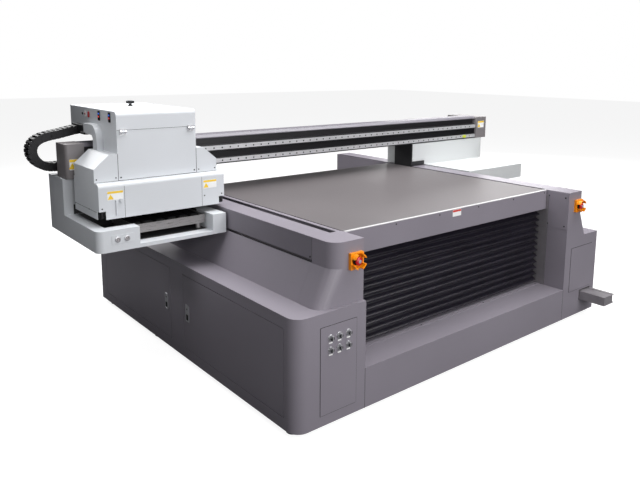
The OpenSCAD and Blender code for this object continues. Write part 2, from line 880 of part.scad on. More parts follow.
// White cover outside the right cabinet that travels with the gantry
module side_tray_cover() {
    color(white_paint) placed() difference() {
        block([side_tray_x[0], side_tray_y, riser_z - side_tray_h],
              [side_tray_x[1], gantry_y + riser_d, riser_z]);
        block([side_tray_x[0] + sheet, side_tray_y + sheet, riser_z - side_tray_h - 1],
              [side_tray_x[1] - sheet, gantry_y + riser_d - sheet, riser_z - sheet]);
    }
}

// Slide blocks that run on the Y rails
module y_slides() {
    length = 90;
    side = 15;
    color(steel) placed() for (x = rail_x, y = [leg_y[0] + 5, saddle_y1 - 5 - length]) difference() {
        block([x - side, y, rail_beam_top + track_h + 2], [x + rail_w + side, y + length, saddle_z]);
        block([x - seat_gap, y - 1, rail_beam_top],
              [x + rail_w + seat_gap, y + length + 1, rail_beam_top + rail_h + seat_gap]);
    }
}

// Space inside the station's tray and the notch in its front, grown by grow
module station_void(grow) {
    block([pocket_x[0] - grow, pocket_y[0] - grow, sill_z - grow],
          [pocket_x[1] + grow, pocket_y[1] + grow, st_z1 + 1]);
    block([notch_x[0] - grow, st_y0 - 1, sill_z - grow],
          [notch_x[1] + grow, pocket_y[0] + 1, st_z1 + 1]);
}

// Outer form of the station's tray
module station_form(inset, z0, z1) {
    translate([0, 0, z0]) linear_extrude(z1 - z0)
        rounded_plan([st_x0 + inset, st_y0 + inset], [st_x1 - inset, st_y1 + 1 - inset], st_round - inset);
}

// Service station: tray with a pocket, rear column and guide pins for the cap tray
module station_shell() {
    color(light_grey) placed() {
        difference() {
            union() {
                difference() {
                    station_form(0, st_z0, st_z1);
                    station_form(sheet, st_z0 - 1, st_z1 - sheet);
                }
                intersection() {
                    station_void(sheet);
                    station_form(0, st_z0, st_z1);
                }
            }
            station_void(0);
        }
        difference() {
            block([st_x0, st_y1, st_z0], [st_x1, st_y1 + column_d, beam_z]);
            block([st_x0 + sheet, st_y1 + sheet, st_z0 - 1],
                  [st_x1 - sheet, st_y1 + column_d - sheet, beam_z - sheet]);
        }
        for (x = [cap_x[0] + 30, cap_x[1] - 30], y = [cap_y[0] + 30, cap_y[1] - 30])
            post_at(x, y, sill_z - eps, guide_top, guide_r);
    }
}

// Tray behind the beam that carries the chain's lower run
module x_chain_tray() {
    z1 = lower_run_z - 0.5;
    color(dark_grey) placed() {
        block([beam_x0, beam_y + beam_d, z1 - chain_tray_t],
              [beam_x1, beam_y + beam_d + chain_tray_d, z1]);
        block([beam_x0, beam_y + beam_d + chain_tray_d - 4, z1 - chain_tray_t],
              [beam_x1, beam_y + beam_d + chain_tray_d, z1 + 40]);
    }
}

// Straight runs of the cable chain, which grow and shrink as the carriage moves
module x_chain_runs() {
    color(black) placed() {
        block([bend_x + 0.5, chain_y, lower_run_z], [fixed_x, chain_y + chain_w, lower_run_z + chain_t]);
        block([bend_x + 0.5, chain_y, upper_run_z], [run_end_x, chain_y + chain_w, upper_run_z + chain_t]);
    }
}

// Half-round bend of the cable chain, which follows the carriage at half its speed
module x_chain_bend() {
    color(black) placed() translate([bend_x, chain_y + chain_w, bend_z]) rotate([90, 0, 0])
        rotate([0, 0, 90]) rotate_extrude(angle = 180)
            translate([chain_r - chain_t / 2, 0]) square([chain_t, chain_w]);
}

// ---------------------------------------------------------------- carriage

// Structural plates: upright back plate, base plate with head windows and gussets
module carriage_plate() {
    inner = [head_x + 16, head_x1 - 9];
    color(steel) placed() difference() {
        union() {
            block([inner[0], head_mid_y, base_plate_z],
                  [inner[1], head_mid_y + back_plate_t, head_rear_z]);
            block([inner[0], head_y0 + 12, base_plate_z],
                  [inner[1], head_mid_y + eps, base_plate_z + base_plate_t]);
            for (x = [inner[0], inner[1] - 10])
                block([x, head_y0 + 90, base_plate_z], [x + 10, head_mid_y + eps, car_z1 - 20]);
        }
        for (i = [0:heads - 1]) {
            x = print_head_x(i);
            block([x, print_head_y, base_plate_z - 1],
                  [x + head_block[0], print_head_y + head_block[1], base_plate_z + base_plate_t + 1]);
        }
    }
}

print_head_y = head_y0 + 60;
function print_head_x(i) =
    (head_x + head_x1 - head_block[0]) / 2 + (i - (heads - 1) / 2) * head_pitch;

// Print heads, each hanging by a flange in its window
module print_heads() {
    lip = 4;
    play = 0.5;
    bottom = car_z0 + 3;
    top = base_plate_z + base_plate_t;
    color(dark_grey) placed() for (i = [0:heads - 1]) {
        x = print_head_x(i);
        block([x + play, print_head_y + play, bottom],
              [x + head_block[0] - play, print_head_y + head_block[1] - play, bottom + head_block[2]]);
        block([x - lip, print_head_y - lip, top],
              [x + head_block[0] + lip, print_head_y + head_block[1] + lip, top + 6]);
    }
}

// Outline of the lower cover in the Y-Z plane, rounded along its top front edge
module lower_outline(inset) {
    r = car_round - inset;
    y0 = car_y0 + inset;
    z1 = car_z1 - inset;
    open = inset > 0 ? 1 : 0;
    difference() {
        translate([y0, car_z0 - open]) square([car_d + open, z1 - car_z0 + open]);
        translate([y0 - 1, z1 - r]) square([r + 1, r + 1]);
    }
    translate([y0 + r, z1 - r]) intersection() {
        circle(r = r);
        translate([-r, 0]) square(r);
    }
}

// One of the lower cover's three shells; ends says which sides are closed
module lower_shell(x0, x1, left_wall, right_wall) {
    difference() {
        along_x(x0, x1) lower_outline(0);
        along_x(x0 + left_wall, x1 - right_wall) lower_outline(sheet);
        for (x = [lamp_x[0], lamp_x[1]])
            block([x + 14, head_y0 + 20, car_z1 - 10],
                  [x + lamp_w - 14, head_y0 + lamp_d - 20, car_z1 + 1]);
        block([head_x + 14, head_y0 + 15, car_z1 - 10], [head_x1 - 5, car_y1 + 1, car_z1 + 1]);
        block([car_x0 - 1, car_y0 - 1, car_z0 - 1], [car_x0 + notch_w, car_y0 + 30, car_z0 + notch_h]);
        block([car_x1 - notch_w, car_y0 - 1, car_z0 - 1], [car_x1 + 1, car_y0 + 30, car_z0 + notch_h]);
    }
}

// Lower cover of the carriage in three shells
module lower_cover() {
    half = panel_gap / 2;
    color(light_grey) placed() {
        lower_shell(car_x0, seam_x[0] - half, sheet, -1);
        lower_shell(seam_x[0] + half, seam_x[1] - half, -1, -1);
        lower_shell(seam_x[1] + half, car_x1, -1, sheet);
    }
}

// Outline of the head box in the Y-Z plane: it steps back over the beam
module head_outline(inset) {
    r = head_round - inset;
    y0 = head_y0 + inset;
    z1 = head_top - inset;
    below = inset > 0 ? 1 : 0;
    difference() {
        union() {
            translate([y0, car_z1 - below]) square([head_mid_y - inset - y0, z1 - car_z1 + below]);
            translate([y0, head_rear_z + inset]) square([head_y1 - inset - y0, z1 - head_rear_z - inset]);
        }
        translate([y0 - 1, z1 - r]) square([r + 1, r + 1]);
    }
    translate([y0 + r, z1 - r]) intersection() {
        circle(r = r);
        translate([-r, 0]) square(r);
    }
}

// Head box over the carriage, open at the front where its cover swings
module head_box() {
    flange_y = head_y0 + sheet - 0.5;
    color(light_grey) placed() difference() {
        union() {
            post_at(top_knob[0], top_knob[1], head_top - eps, head_top + top_knob_h, top_knob_r / 3);
            post_at(top_knob[0], top_knob[1], head_top + top_knob_h / 2, head_top + top_knob_h, top_knob_r);
            difference() {
                along_x(head_x, head_x1) head_outline(0);
                along_x(head_x + sheet, head_x1 - sheet) head_outline(sheet);
            }
            block([head_x, flange_y, car_z1], [head_x1, flange_y + sheet, cover_seam_z + 6]);
        }
        block([head_x + cover_side, head_y0 - 1, car_z1 + 12],
              [head_x1 - cover_side, flange_y + sheet + 1, cover_seam_z - 12]);
        block([head_x - 1, head_y0 - 1, car_z1 + panel_gap + 2], [head_x1 + 1, flange_y, cover_seam_z]);
        block([head_x - 1, rocker_y - rocker_w / 2 - 0.5, rocker_z - rocker_h / 2 - 2],
              [head_x + sheet + 1, rocker_y + rocker_w / 2 + 0.5, rocker_z + rocker_h / 2 + 2]);
    }
}

// Swinging front cover of the head box, with its two hinge knuckles
module head_front_cover() {
    knuckle = 14;
    color(light_grey) placed() difference() {
        union() {
            block([head_x, head_y0, car_z1 + panel_gap + 2.5],
                  [head_x1, head_y0 + sheet - 0.8, cover_seam_z - panel_gap]);
            for (x = hinge_x) {
                mid = x + hinge_l / 2;
                rod_x(hinge_axis_y, hinge_axis_z, mid - knuckle / 2, mid + knuckle / 2, hinge_r - 0.5);
                block([mid - knuckle / 2, hinge_axis_y, hinge_axis_z - 12],
                      [mid + knuckle / 2, head_y0 + eps, hinge_axis_z - 4]);
            }
        }
        for (x = hinge_x)
            rod_x(hinge_axis_y, hinge_axis_z, x, x + hinge_l, pin_r + fit);
    }
}

// Hinge pins with their end barrels on the head box
module cover_hinges() {
    barrel = 10;
    color(steel) placed() for (x = hinge_x) {
        rod_x(hinge_axis_y, hinge_axis_z, x, x + hinge_l, pin_r);
        for (start = [x, x + hinge_l - barrel]) {
            rod_x(hinge_axis_y, hinge_axis_z, start, start + barrel, hinge_r);
            block([start, hinge_axis_y, hinge_axis_z + 1], [start + barrel, head_y0, hinge_axis_z + 7]);
        }
    }
}

lamp_x = [head_x - lamp_w, head_x1];

// Outline of a lamp cover in the X-Z plane; side is 0 on the left and 1 on the right
module lamp_outline(side, inset) {
    low = [inset, car_z1 - (inset > 0 ? 1 : 0)];
    outline = [
        low, [inset, lamp_z[0] - inset / 2], [lamp_slope + inset / 2, lamp_z[1] - inset],
        [lamp_w - inset, lamp_z[1] - inset], [lamp_w - inset, low[1]]
    ];
    translate([side == 0 ? lamp_x[0] : lamp_x[1] + lamp_w, 0]) mirror([side, 0]) polygon(outline);
}

// Sloped covers over the two curing lamps
module lamp_covers() {
    color(light_grey) placed() for (side = [0, 1]) difference() {
        along_y(head_y0, head_y0 + lamp_d) lamp_outline(side, 0);
        along_y(head_y0 + sheet, head_y0 + lamp_d - sheet) lamp_outline(side, sheet);
    }
}

// Curing lamps, each hanging by a flange on the lower cover
module uv_lamps() {
    color(black) placed() for (x = lamp_x) {
        block([x + 16, head_y0 + 24, car_z0 + 8], [x + lamp_w - 16, head_y0 + lamp_d - 24, car_z1 + 60]);
        block([x + 8, head_y0 + 12, car_z1], [x + lamp_w - 8, head_y0 + lamp_d - 12, car_z1 + 4]);
    }
}

// Slide blocks that run on the beam's rails
module x_slides() {
    front = head_mid_y + back_plate_t;
    over = 8;
    color(steel) placed() for (x = slide_x, z = xrail_z) difference() {
        block([x, front, z - over], [x + slide_l, beam_y - 2, z + xrail_h + over]);
        block([x - 1, beam_y - xrail_t - seat_gap, z - seat_gap],
              [x + slide_l + 1, beam_y, z + xrail_h + seat_gap]);
    }
}

// Duct that leads the cables from the chain's end down the head box's side
module elbow_conduit() {
    x0 = head_x - elbow_w;
    tongue_z = [elbow_top - elbow_t + 6, elbow_top - 16];
    color(light_grey) placed() {
        along_x(x0, head_x) mirror([0, 1]) difference() {
            rounded_plan([elbow_y[0], -elbow_top], [elbow_y[1], -lamp_z[1]], elbow_r);
            rounded_plan([elbow_y[0] + elbow_t, elbow_t - elbow_top],
                         [elbow_y[1] + 1, 1 - lamp_z[1]], elbow_r - elbow_t);
        }
        block([x0 + 4, elbow_y[1] - elbow_w, tongue_z[0]], [head_x, chain_y - 2, tongue_z[1]]);
    }
}

// Small hinged flap with a round knob on the lower cover's front
module latch_flap() {
    y1 = car_y0 - 0.5;
    color(light_grey) placed() {
        block([flap_x, y1 - sheet, flap_z], [flap_x + flap_w, y1, flap_z + flap_h]);
        post_at(flap_x, y1 - sheet, flap_z, flap_z + flap_h, flap_barrel_r);
        rod_y(flap_x + flap_knob[0], flap_z + flap_knob[1], y1 - sheet - 12, y1 - 1, flap_knob_r);
    }
}

// Rocker of the power switch on the head box's side
module rocker_switch() {
    color("firebrick") placed() {
        block([head_x - 4, rocker_y - rocker_w / 2, rocker_z - rocker_h / 2],
              [head_x + 4, rocker_y + rocker_w / 2, rocker_z + rocker_h / 2]);
        rod_y(head_x, rocker_z, rocker_y - rocker_w / 2, rocker_y + rocker_w / 2, rocker_pin_r);
    }
}

// Cap tray that rises on the station's guide pins to seal the print heads
module cap_tray() {
    wall = 3;
    bush = 6;
    color(steel) placed() difference() {
        union() {
            difference() {
                block([cap_x[0], cap_y[0], cap_z[0]], [cap_x[1], cap_y[1], cap_z[1]]);
                block([cap_x[0] + wall, cap_y[0] + wall, cap_z[0] + wall],
                      [cap_x[1] - wall, cap_y[1] - wall, cap_z[1] + 1]);
            }
            for (x = [cap_x[0] + 30, cap_x[1] - 30], y = [cap_y[0] + 30, cap_y[1] - 30])
                post_at(x, y, sill_z + 2, cap_z[0] + 1, guide_r + bush);
        }
        for (x = [cap_x[0] + 30, cap_x[1] - 30], y = [cap_y[0] + 30, cap_y[1] - 30])
            post_at(x, y, sill_z, cap_z[1], guide_r + fit);
    }
}

// ---------------------------------------------------------------- doors

// Folded door between y0 and y1 with a pull near one end and a bore for its pins
module cabinet_door(y0, y1, pivot_y, pull_y) {
    z0 = foot_h + door_sill + door_gap;
    z1 = foot_h + door_sill + door_h - door_gap;
    color(mid_grey) placed() difference() {
        union() {
            block([0, y0, z0], [door_depth, y1, z1]);
            block([-1.5, pull_y, pull_z], [eps, pull_y + pull_w, pull_z + pull_h]);
        }
        block([sheet, y0 + sheet, z0 + sheet], [door_depth + 1, y1 - sheet, z1 - sheet]);
        post_at(pivot_x, pivot_y, z0 - 1, z1 + 1, pin_r + fit);
    }
}

module door_front() {
    y0 = door_front_y + door_gap;
    y1 = door_front_y + door_front_w - door_gap;
    cabinet_door(y0, y1, front_pivot_y, y1 - pull_inset - pull_w);
}

module door_rear() {
    y0 = rear_door_y + door_gap;
    y1 = rear_door_y + door_rear_w - door_gap;
    cabinet_door(y0, y1, rear_pivot_y, y0 + pull_inset);
}

base_frame();
leveling_feet();
left_cabinet();
left_front_cap();
left_skirt();
left_side_panel();
left_top_cover();
switch_panel();
bay_ledges();
bellows();
right_cabinet();
right_tower();
right_side_cover();
right_panels();
right_top_cover();
y_rails();
y_motor_tracks();
cable_trays();
lift_jacks();
estop_guards();
cover_screws();
table_top();
table_frame();
apron();
lift_screws();
beam();
x_rails();
x_motor_track();
beam_end_covers();
gantry_legs();
riser();
side_tray_cover();
y_slides();
station_shell();
x_chain_tray();
x_chain_runs();
x_chain_bend();
carriage_plate();
x_slides();
print_heads();
lower_cover();
head_box();
cover_hinges();
lamp_covers();
uv_lamps();
elbow_conduit();
head_front_cover();
latch_flap();
rocker_switch();
cap_tray();
rotary_knob(knob_x[0], knob_z[0]);  // knob_1
rotary_knob(knob_x[1], knob_z[0]);  // knob_2
rotary_knob(knob_x[2], knob_z[0]);  // knob_3
rotary_knob(knob_x[0], knob_z[1]);  // knob_4
rotary_knob(knob_x[1], knob_z[1]);  // knob_5
rotary_knob(knob_x[2], knob_z[1]);  // knob_6
door_front();
door_rear();
stop_button(stops[0]);  // estop_left
stop_button(stops[1]);  // estop_right
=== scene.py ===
"""Looks of the flatbed printer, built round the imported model. Metres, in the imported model's frame."""
import math

import bmesh
import bpy
from mathutils import Matrix, Vector, noise


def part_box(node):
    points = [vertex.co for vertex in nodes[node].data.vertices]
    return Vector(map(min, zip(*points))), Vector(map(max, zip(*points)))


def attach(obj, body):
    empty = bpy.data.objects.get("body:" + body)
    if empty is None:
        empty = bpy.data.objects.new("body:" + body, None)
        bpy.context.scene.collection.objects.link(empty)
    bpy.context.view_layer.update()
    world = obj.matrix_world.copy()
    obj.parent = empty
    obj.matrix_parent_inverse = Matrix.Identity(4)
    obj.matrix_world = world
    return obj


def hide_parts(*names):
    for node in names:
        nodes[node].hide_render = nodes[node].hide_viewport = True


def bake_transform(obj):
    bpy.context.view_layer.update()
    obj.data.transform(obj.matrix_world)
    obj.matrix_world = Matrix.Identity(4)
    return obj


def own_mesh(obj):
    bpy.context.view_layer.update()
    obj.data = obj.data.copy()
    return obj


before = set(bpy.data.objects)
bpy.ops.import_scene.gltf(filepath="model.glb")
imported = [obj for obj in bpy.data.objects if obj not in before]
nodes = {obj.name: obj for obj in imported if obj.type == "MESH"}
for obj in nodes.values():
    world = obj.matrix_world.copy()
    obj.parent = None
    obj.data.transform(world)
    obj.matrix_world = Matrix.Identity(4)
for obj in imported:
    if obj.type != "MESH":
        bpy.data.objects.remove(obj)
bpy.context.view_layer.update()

MM = 0.001
X, Y, Z = Vector((1, 0, 0)), Vector((0, 1, 0)), Vector((0, 0, 1))


# ---------------------------------------------------------------- places

cabinet_lo, cabinet_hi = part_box("left_cabinet")
origin = Vector((cabinet_lo.x, cabinet_lo.y, 0))


def at(x, y, z):
    """A point given in millimetres from the left cabinet's front left corner on the floor."""
    return origin + Vector((x, y, z)) * MM


# ---------------------------------------------------------------- mesh helpers


def add_box(bm, lo, hi):
    """A closed box from its lowest to its highest corner."""
    corners = [
        bm.verts.new((x, y, z))
        for x in (lo[0], hi[0])
        for y in (lo[1], hi[1])
        for z in (lo[2], hi[2])
    ]
    for loop in ((0, 1, 3, 2), (4, 6, 7, 5), (0, 4, 5, 1), (2, 3, 7, 6), (0, 2, 6, 4), (1, 5, 7, 3)):
        bm.faces.new([corners[i] for i in loop])
    return corners


def add_slab(bm, outline, base, u, v, depth):
    """A flat plate: outline holds (u, v) points round base, and depth is the vector it is raised by."""
    low = [bm.verts.new(base + u * a + v * b) for a, b in outline]
    high = [bm.verts.new(base + u * a + v * b + depth) for a, b in outline]
    count = len(outline)
    bm.faces.new(list(reversed(low)))
    bm.faces.new(high)
    for i in range(count):
        j = (i + 1) % count
        bm.faces.new((low[i], low[j], high[j], high[i]))


def rounded(width, height, radius, steps=4):
    """Points round a rectangle with round corners, centred on zero."""
    points = []
    for cx, cy, start in ((1, 1, 0), (-1, 1, 90), (-1, -1, 180), (1, -1, 270)):
        for i in range(steps + 1):
            a = math.radians(start + 90 * i / steps)
            points.append((
                cx * (width / 2 - radius) + radius * math.cos(a),
                cy * (height / 2 - radius) + radius * math.sin(a),
            ))
    return points


def side_axes(axis):
    """Two directions square to an axis."""
    u = (Z if abs(axis.z) < 0.9 else X).cross(axis).normalized()
    return u, axis.cross(u).normalized()


def add_lathe(bm, base, axis, profile, steps=20):
    """A turned form: profile holds (radius, height along axis) from one end to the other."""
    u, v = side_axes(axis)
    rings = []
    for radius, height in profile:
        centre = base + axis * height
        if radius < 1e-7:
            rings.append([bm.verts.new(centre)])
            continue
        rings.append([
            bm.verts.new(centre + (u * math.cos(a) + v * math.sin(a)) * radius)
            for a in (2 * math.pi * i / steps for i in range(steps))
        ])
    for a, b in zip(rings, rings[1:]):
        for i in range(steps):
            j = (i + 1) % steps
            corners = [a[i % len(a)], a[j % len(a)], b[j % len(b)], b[i % len(b)]]
            unique = list(dict.fromkeys(corners))
            if len(unique) > 2:
                bm.faces.new(unique)
    for ring, flip in ((rings[0], True), (rings[-1], False)):
        if len(ring) > 2:
            bm.faces.new(list(reversed(ring)) if flip else ring)


def add_turned(bm, base, axis, profile, steps=20):
    """A turned form whose profile is in millimetres."""
    add_lathe(bm, base, axis, [(radius * MM, height * MM) for radius, height in profile], steps)


def add_screw(bm, base, axis, radius=5 * MM):
    """A button head screw with a socket, standing on a surface."""
    add_lathe(bm, base, axis, [
        (radius, -0.2 * MM), (radius, 0.25 * radius), (0.75 * radius, 0.5 * radius),
        (0.45 * radius, 0.52 * radius), (0.4 * radius, 0.15 * radius), (0, 0.12 * radius),
    ], 12)


def add_tube(bm, points, radius, steps=10):
    """A round tube along a line of points."""
    rings = []
    for i, point in enumerate(points):
        before, after = points[max(i - 1, 0)], points[min(i + 1, len(points) - 1)]
        u, v = side_axes((after - before).normalized())
        rings.append([
            bm.verts.new(point + (u * math.cos(a) + v * math.sin(a)) * radius)
            for a in (2 * math.pi * k / steps for k in range(steps))
        ])
    for a, b in zip(rings, rings[1:]):
        for k in range(steps):
            m = (k + 1) % steps
            bm.faces.new((a[k], a[m], b[m], b[k]))
    bm.faces.new(list(reversed(rings[0])))
    bm.faces.new(rings[-1])


def make_piece(name, bm, material, body, bevel=0.0, smooth=False):
    """A new object from a bmesh, riding on a body."""
    bmesh.ops.recalc_face_normals(bm, faces=bm.faces)
    mesh = bpy.data.meshes.new(name)
    bm.to_mesh(mesh)
    bm.free()
    piece = bpy.data.objects.new(name, mesh)
    bpy.context.scene.collection.objects.link(piece)
    mesh.materials.append(material)
    if smooth:
        for polygon in mesh.polygons:
            polygon.use_smooth = True
        mesh.set_sharp_from_angle(angle=math.radians(40))
    if bevel:
        rounder = piece.modifiers.new("edge", "BEVEL")
        rounder.width = bevel
        rounder.segments = 2
        rounder.limit_method = "ANGLE"
        rounder.angle_limit = math.radians(35)
        rounder.harden_normals = True
    if body:
        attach(piece, body)
    return piece


# ---------------------------------------------------------------- materials


def add_noise(tree, vector, scale, detail=4.0, rough=0.55):
    """A noise texture node's factor output."""
    texture = tree.nodes.new("ShaderNodeTexNoise")
    texture.inputs["Scale"].default_value = scale
    texture.inputs["Detail"].default_value = detail
    texture.inputs["Roughness"].default_value = rough
    tree.links.new(vector, texture.inputs["Vector"])
    return texture.outputs["Fac"]


def add_range(tree, value, low, high, start=0.3, end=0.7):
    """Maps a factor to the range low to high."""
    node = tree.nodes.new("ShaderNodeMapRange")
    for key, number in (("From Min", start), ("From Max", end), ("To Min", low), ("To Max", high)):
        node.inputs[key].default_value = number
    tree.links.new(value, node.inputs["Value"])
    return node.outputs["Result"]


def add_mix(tree, factor, first, second):
    """A colour between first and second; each is a colour or a socket."""
    node = tree.nodes.new("ShaderNodeMix")
    node.data_type = "RGBA"
    tree.links.new(factor, node.inputs["Factor"])
    for socket, value in ((node.inputs["A"], first), (node.inputs["B"], second)):
        if isinstance(value, bpy.types.NodeSocket):
            tree.links.new(value, socket)
        else:
            socket.default_value = (*value, 1)
    return node.outputs["Result"]


def add_step(tree, coords, axis, edge, soft=0.0005):
    """A factor that goes from 0 to 1 where a coordinate passes edge."""
    parts = tree.nodes.new("ShaderNodeSeparateXYZ")
    tree.links.new(coords, parts.inputs["Vector"])
    return add_range(tree, parts.outputs[axis], 0, 1, edge - soft, edge + soft)


def shaded(colour, share):
    """The colour, lighter or darker by a share."""
    return tuple(min(1.0, c * share) for c in colour)


def make_material(name, colour, rough, metallic=0.0, variation=0.05, cloud=1.3, grain=900.0,
                  height=0.00006, stretch=(1, 1, 1), specular=0.5, coat=0.0, sheen=0.0, bands=()):
    """A procedural finish: soft colour clouds, fine grain in colour, gloss and bump.
    bands are (axis, edge, colour, above) for a part of the surface past a coordinate."""
    material = bpy.data.materials.new(name)
    material.use_nodes = True
    tree = material.node_tree
    shader = tree.nodes["Principled BSDF"]
    coords = tree.nodes.new("ShaderNodeTexCoord").outputs["Object"]
    mapping = tree.nodes.new("ShaderNodeMapping")
    mapping.inputs["Scale"].default_value = stretch
    tree.links.new(coords, mapping.inputs["Vector"])
    fine = add_noise(tree, mapping.outputs["Vector"], grain, 3.0)
    broad = add_noise(tree, coords, cloud, 4.0)
    tint = add_mix(tree, add_range(tree, broad, 0, 1), shaded(colour, 1 - variation),
                   shaded(colour, 1 + variation))
    for axis, edge, other, above in bands:
        step = add_step(tree, coords, axis, edge)
        tint = add_mix(tree, step, tint, other) if above else add_mix(tree, step, other, tint)
    speck = add_range(tree, fine, 1 - variation, 1 + variation * 0.6)
    scaled = tree.nodes.new("ShaderNodeVectorMath")
    scaled.operation = "SCALE"
    tree.links.new(tint, scaled.inputs[0])
    tree.links.new(speck, scaled.inputs["Scale"])
    tree.links.new(scaled.outputs["Vector"], shader.inputs["Base Color"])
    tree.links.new(add_range(tree, fine, rough - 0.05, rough + 0.07), shader.inputs["Roughness"])
    bump = tree.nodes.new("ShaderNodeBump")
    bump.inputs["Distance"].default_value = height
    bump.inputs["Strength"].default_value = 0.6
    tree.links.new(fine, bump.inputs["Height"])
    tree.links.new(bump.outputs["Normal"], shader.inputs["Normal"])
    shader.inputs["Metallic"].default_value = metallic
    shader.inputs["Specular IOR Level"].default_value = specular
    shader.inputs["Coat Weight"].default_value = coat
    shader.inputs["Sheen Weight"].default_value = sheen
    return material


BEAM_BAND_Z = 1269 * MM
TRIM_W = 13 * MM
table_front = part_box("table_top")[0].y

grey_paint = make_material("grey_paint", (0.235, 0.215, 0.25), 0.36)
side_paint = make_material("side_paint", (0.19, 0.175, 0.205), 0.42)
dark_paint = make_material("dark_paint", (0.085, 0.08, 0.09), 0.45)
light_paint = make_material("light_paint", (0.62, 0.64, 0.67), 0.38, variation=0.03)
white_paint = make_material("white_paint", (0.58, 0.595, 0.6), 0.4, variation=0.02)
black_metal = make_material("black_metal", (0.018, 0.018, 0.02), 0.4)
steel = make_material("ground_steel", (0.6, 0.6, 0.62), 0.34, metallic=0.35, variation=0.1,
                      grain=500.0, stretch=(0.03, 1, 1))
cap_steel = make_material("cap_steel", (0.3, 0.29, 0.29), 0.3, metallic=0.5, variation=0.12,
                          grain=500.0, stretch=(0.03, 1, 1))
deck_steel = make_material("deck_steel", (0.42, 0.41, 0.43), 0.34, metallic=1.0, variation=0.1,
                           grain=500.0, stretch=(1, 0.03, 1))
chrome = make_material("chrome", (0.62, 0.62, 0.64), 0.2, metallic=0.9, variation=0.03)
table_plate = make_material(
    "table_plate", (0.125, 0.113, 0.117), 0.42, variation=0.05, grain=1400.0, specular=0.45,
    bands=(("Y", table_front + TRIM_W, (0.62, 0.61, 0.62), False),))
beam_metal = make_material(
    "beam_metal", (0.022, 0.021, 0.024), 0.4, variation=0.06, grain=700.0, stretch=(0.05, 1, 1),
    bands=(("Z", BEAM_BAND_Z, (0.17, 0.16, 0.185), True),))
dark_alloy = make_material("dark_alloy", (0.07, 0.068, 0.075), 0.4, variation=0.06)
end_paint = make_material("end_paint", (0.2, 0.185, 0.19), 0.45)
black_plastic = make_material("black_plastic", (0.006, 0.0058, 0.0075), 0.4, variation=0.15,
                              grain=1800.0, height=0.00012, specular=0.3)
bellows_cloth = make_material("bellows_cloth", (0.013, 0.0108, 0.018), 0.42, variation=0.25,
                              cloud=7.0, grain=1500.0, height=0.0002, specular=0.55)
orange_plastic = make_material("orange_plastic", (0.95, 0.3, 0.004), 0.3, variation=0.04)
red_plastic = make_material("red_plastic", (0.5, 0.008, 0.016), 0.3, variation=0.05, coat=0.2)
foot_rubber = make_material("foot_rubber", (0.02, 0.02, 0.02), 0.8, variation=0.2)
label_white = make_material("label_white", (0.85, 0.85, 0.84), 0.5, variation=0.02)
label_yellow = make_material("label_yellow", (0.9, 0.6, 0.03), 0.5, variation=0.04)
label_red = make_material("label_red", (0.6, 0.05, 0.04), 0.5, variation=0.04)
screen_glass = make_material("screen_glass", (0.008, 0.01, 0.016), 0.12, variation=0.1, coat=0.5)
# Near-black: painted shade inside the rail holes and the door pull recesses, and the cap pads' own black.
hole_shade_and_pad_black = make_material("hole_shade_and_pad_black", (0.01, 0.01, 0.011), 0.7, variation=0.1)
silver = make_material("silver", (0.55, 0.55, 0.57), 0.36, metallic=0.7, variation=0.05)
galvanised = make_material("galvanised", (0.36, 0.34, 0.36), 0.42, metallic=0.6, variation=0.08,
                           cloud=18.0)
# Near-black painted shade: laid in the gaps between panels, inside the station pocket, on the column front
# and under the carriage, where shade falls.
painted_shade = make_material("painted_shade", (0.02, 0.02, 0.022), 0.6, variation=0.1)
bumper_green = make_material("bumper_green", (0.55, 0.6, 0.05), 0.45, variation=0.06)
button_grey = make_material("button_grey", (0.35, 0.33, 0.34), 0.4, variation=0.05)


def make_glow(name, colour, strength):
    """A lit display segment."""
    material = make_material(name, colour, 0.4)
    shader = material.node_tree.nodes["Principled BSDF"]
    shader.inputs["Emission Color"].default_value = (*colour, 1)
    shader.inputs["Emission Strength"].default_value = strength
    return material


glow_blue = make_glow("glow_blue", (0.05, 0.16, 0.8), 0.8)
glow_red = make_glow("glow_red", (0.8, 0.05, 0.04), 0.8)

FINISH = {
    grey_paint: ("left_front_cap", "switch_panel", "bay_ledges", "right_cabinet", "right_tower",
                 "right_side_cover", "right_panels", "apron", "left_cabinet", "left_skirt",
                 "door_front", "door_rear", "left_top_cover", "right_top_cover"),
    side_paint: ("left_side_panel",),
    galvanised: ("cable_trays",),
    dark_paint: ("base_frame", "lift_jacks", "table_frame", "x_chain_tray"),
    light_paint: ("station_shell", "lower_cover", "head_box", "lamp_covers", "elbow_conduit",
                  "head_front_cover", "latch_flap"),
    white_paint: ("riser", "side_tray_cover"),
    black_metal: ("gantry_legs", "y_motor_tracks", "cover_screws", "print_heads", "uv_lamps"),
    steel: ("x_rails", "lift_screws", "x_slides"),
    cap_steel: ("cap_tray",),
    deck_steel: ("y_rails", "y_slides"),
    chrome: ("cover_hinges",),
    table_plate: ("table_top",),
    beam_metal: ("beam",),
    dark_alloy: ("carriage_plate",),
    end_paint: ("beam_end_covers",),
    black_plastic: ("x_motor_track", "x_chain_runs", "x_chain_bend"),
    silver: ("knob_1", "knob_2", "knob_3", "knob_4", "knob_5", "knob_6"),
    bellows_cloth: ("bellows",),
    orange_plastic: ("estop_guards",),
    red_plastic: ("estop_left", "estop_right", "rocker_switch"),
    foot_rubber: ("leveling_feet",),
}
for material, names in FINISH.items():
    for name in names:
        for slot in nodes[name].material_slots:
            slot.material = material


# ---------------------------------------------------------------- bellows

PLEATS = 13
COLUMNS = 72
# One fold as (share of its height, share of its reach), from its low inner edge up
FOLD = ((0, 0), (0.3, 0.72), (0.44, 0.96), (0.52, 1), (0.6, 0.93), (0.78, 0.45))
CLOTH_T = 1.2 * MM
BELLOWS_D = 42 * MM
WAVE, RIPPLE = 5.5 * MM, 1.5 * MM


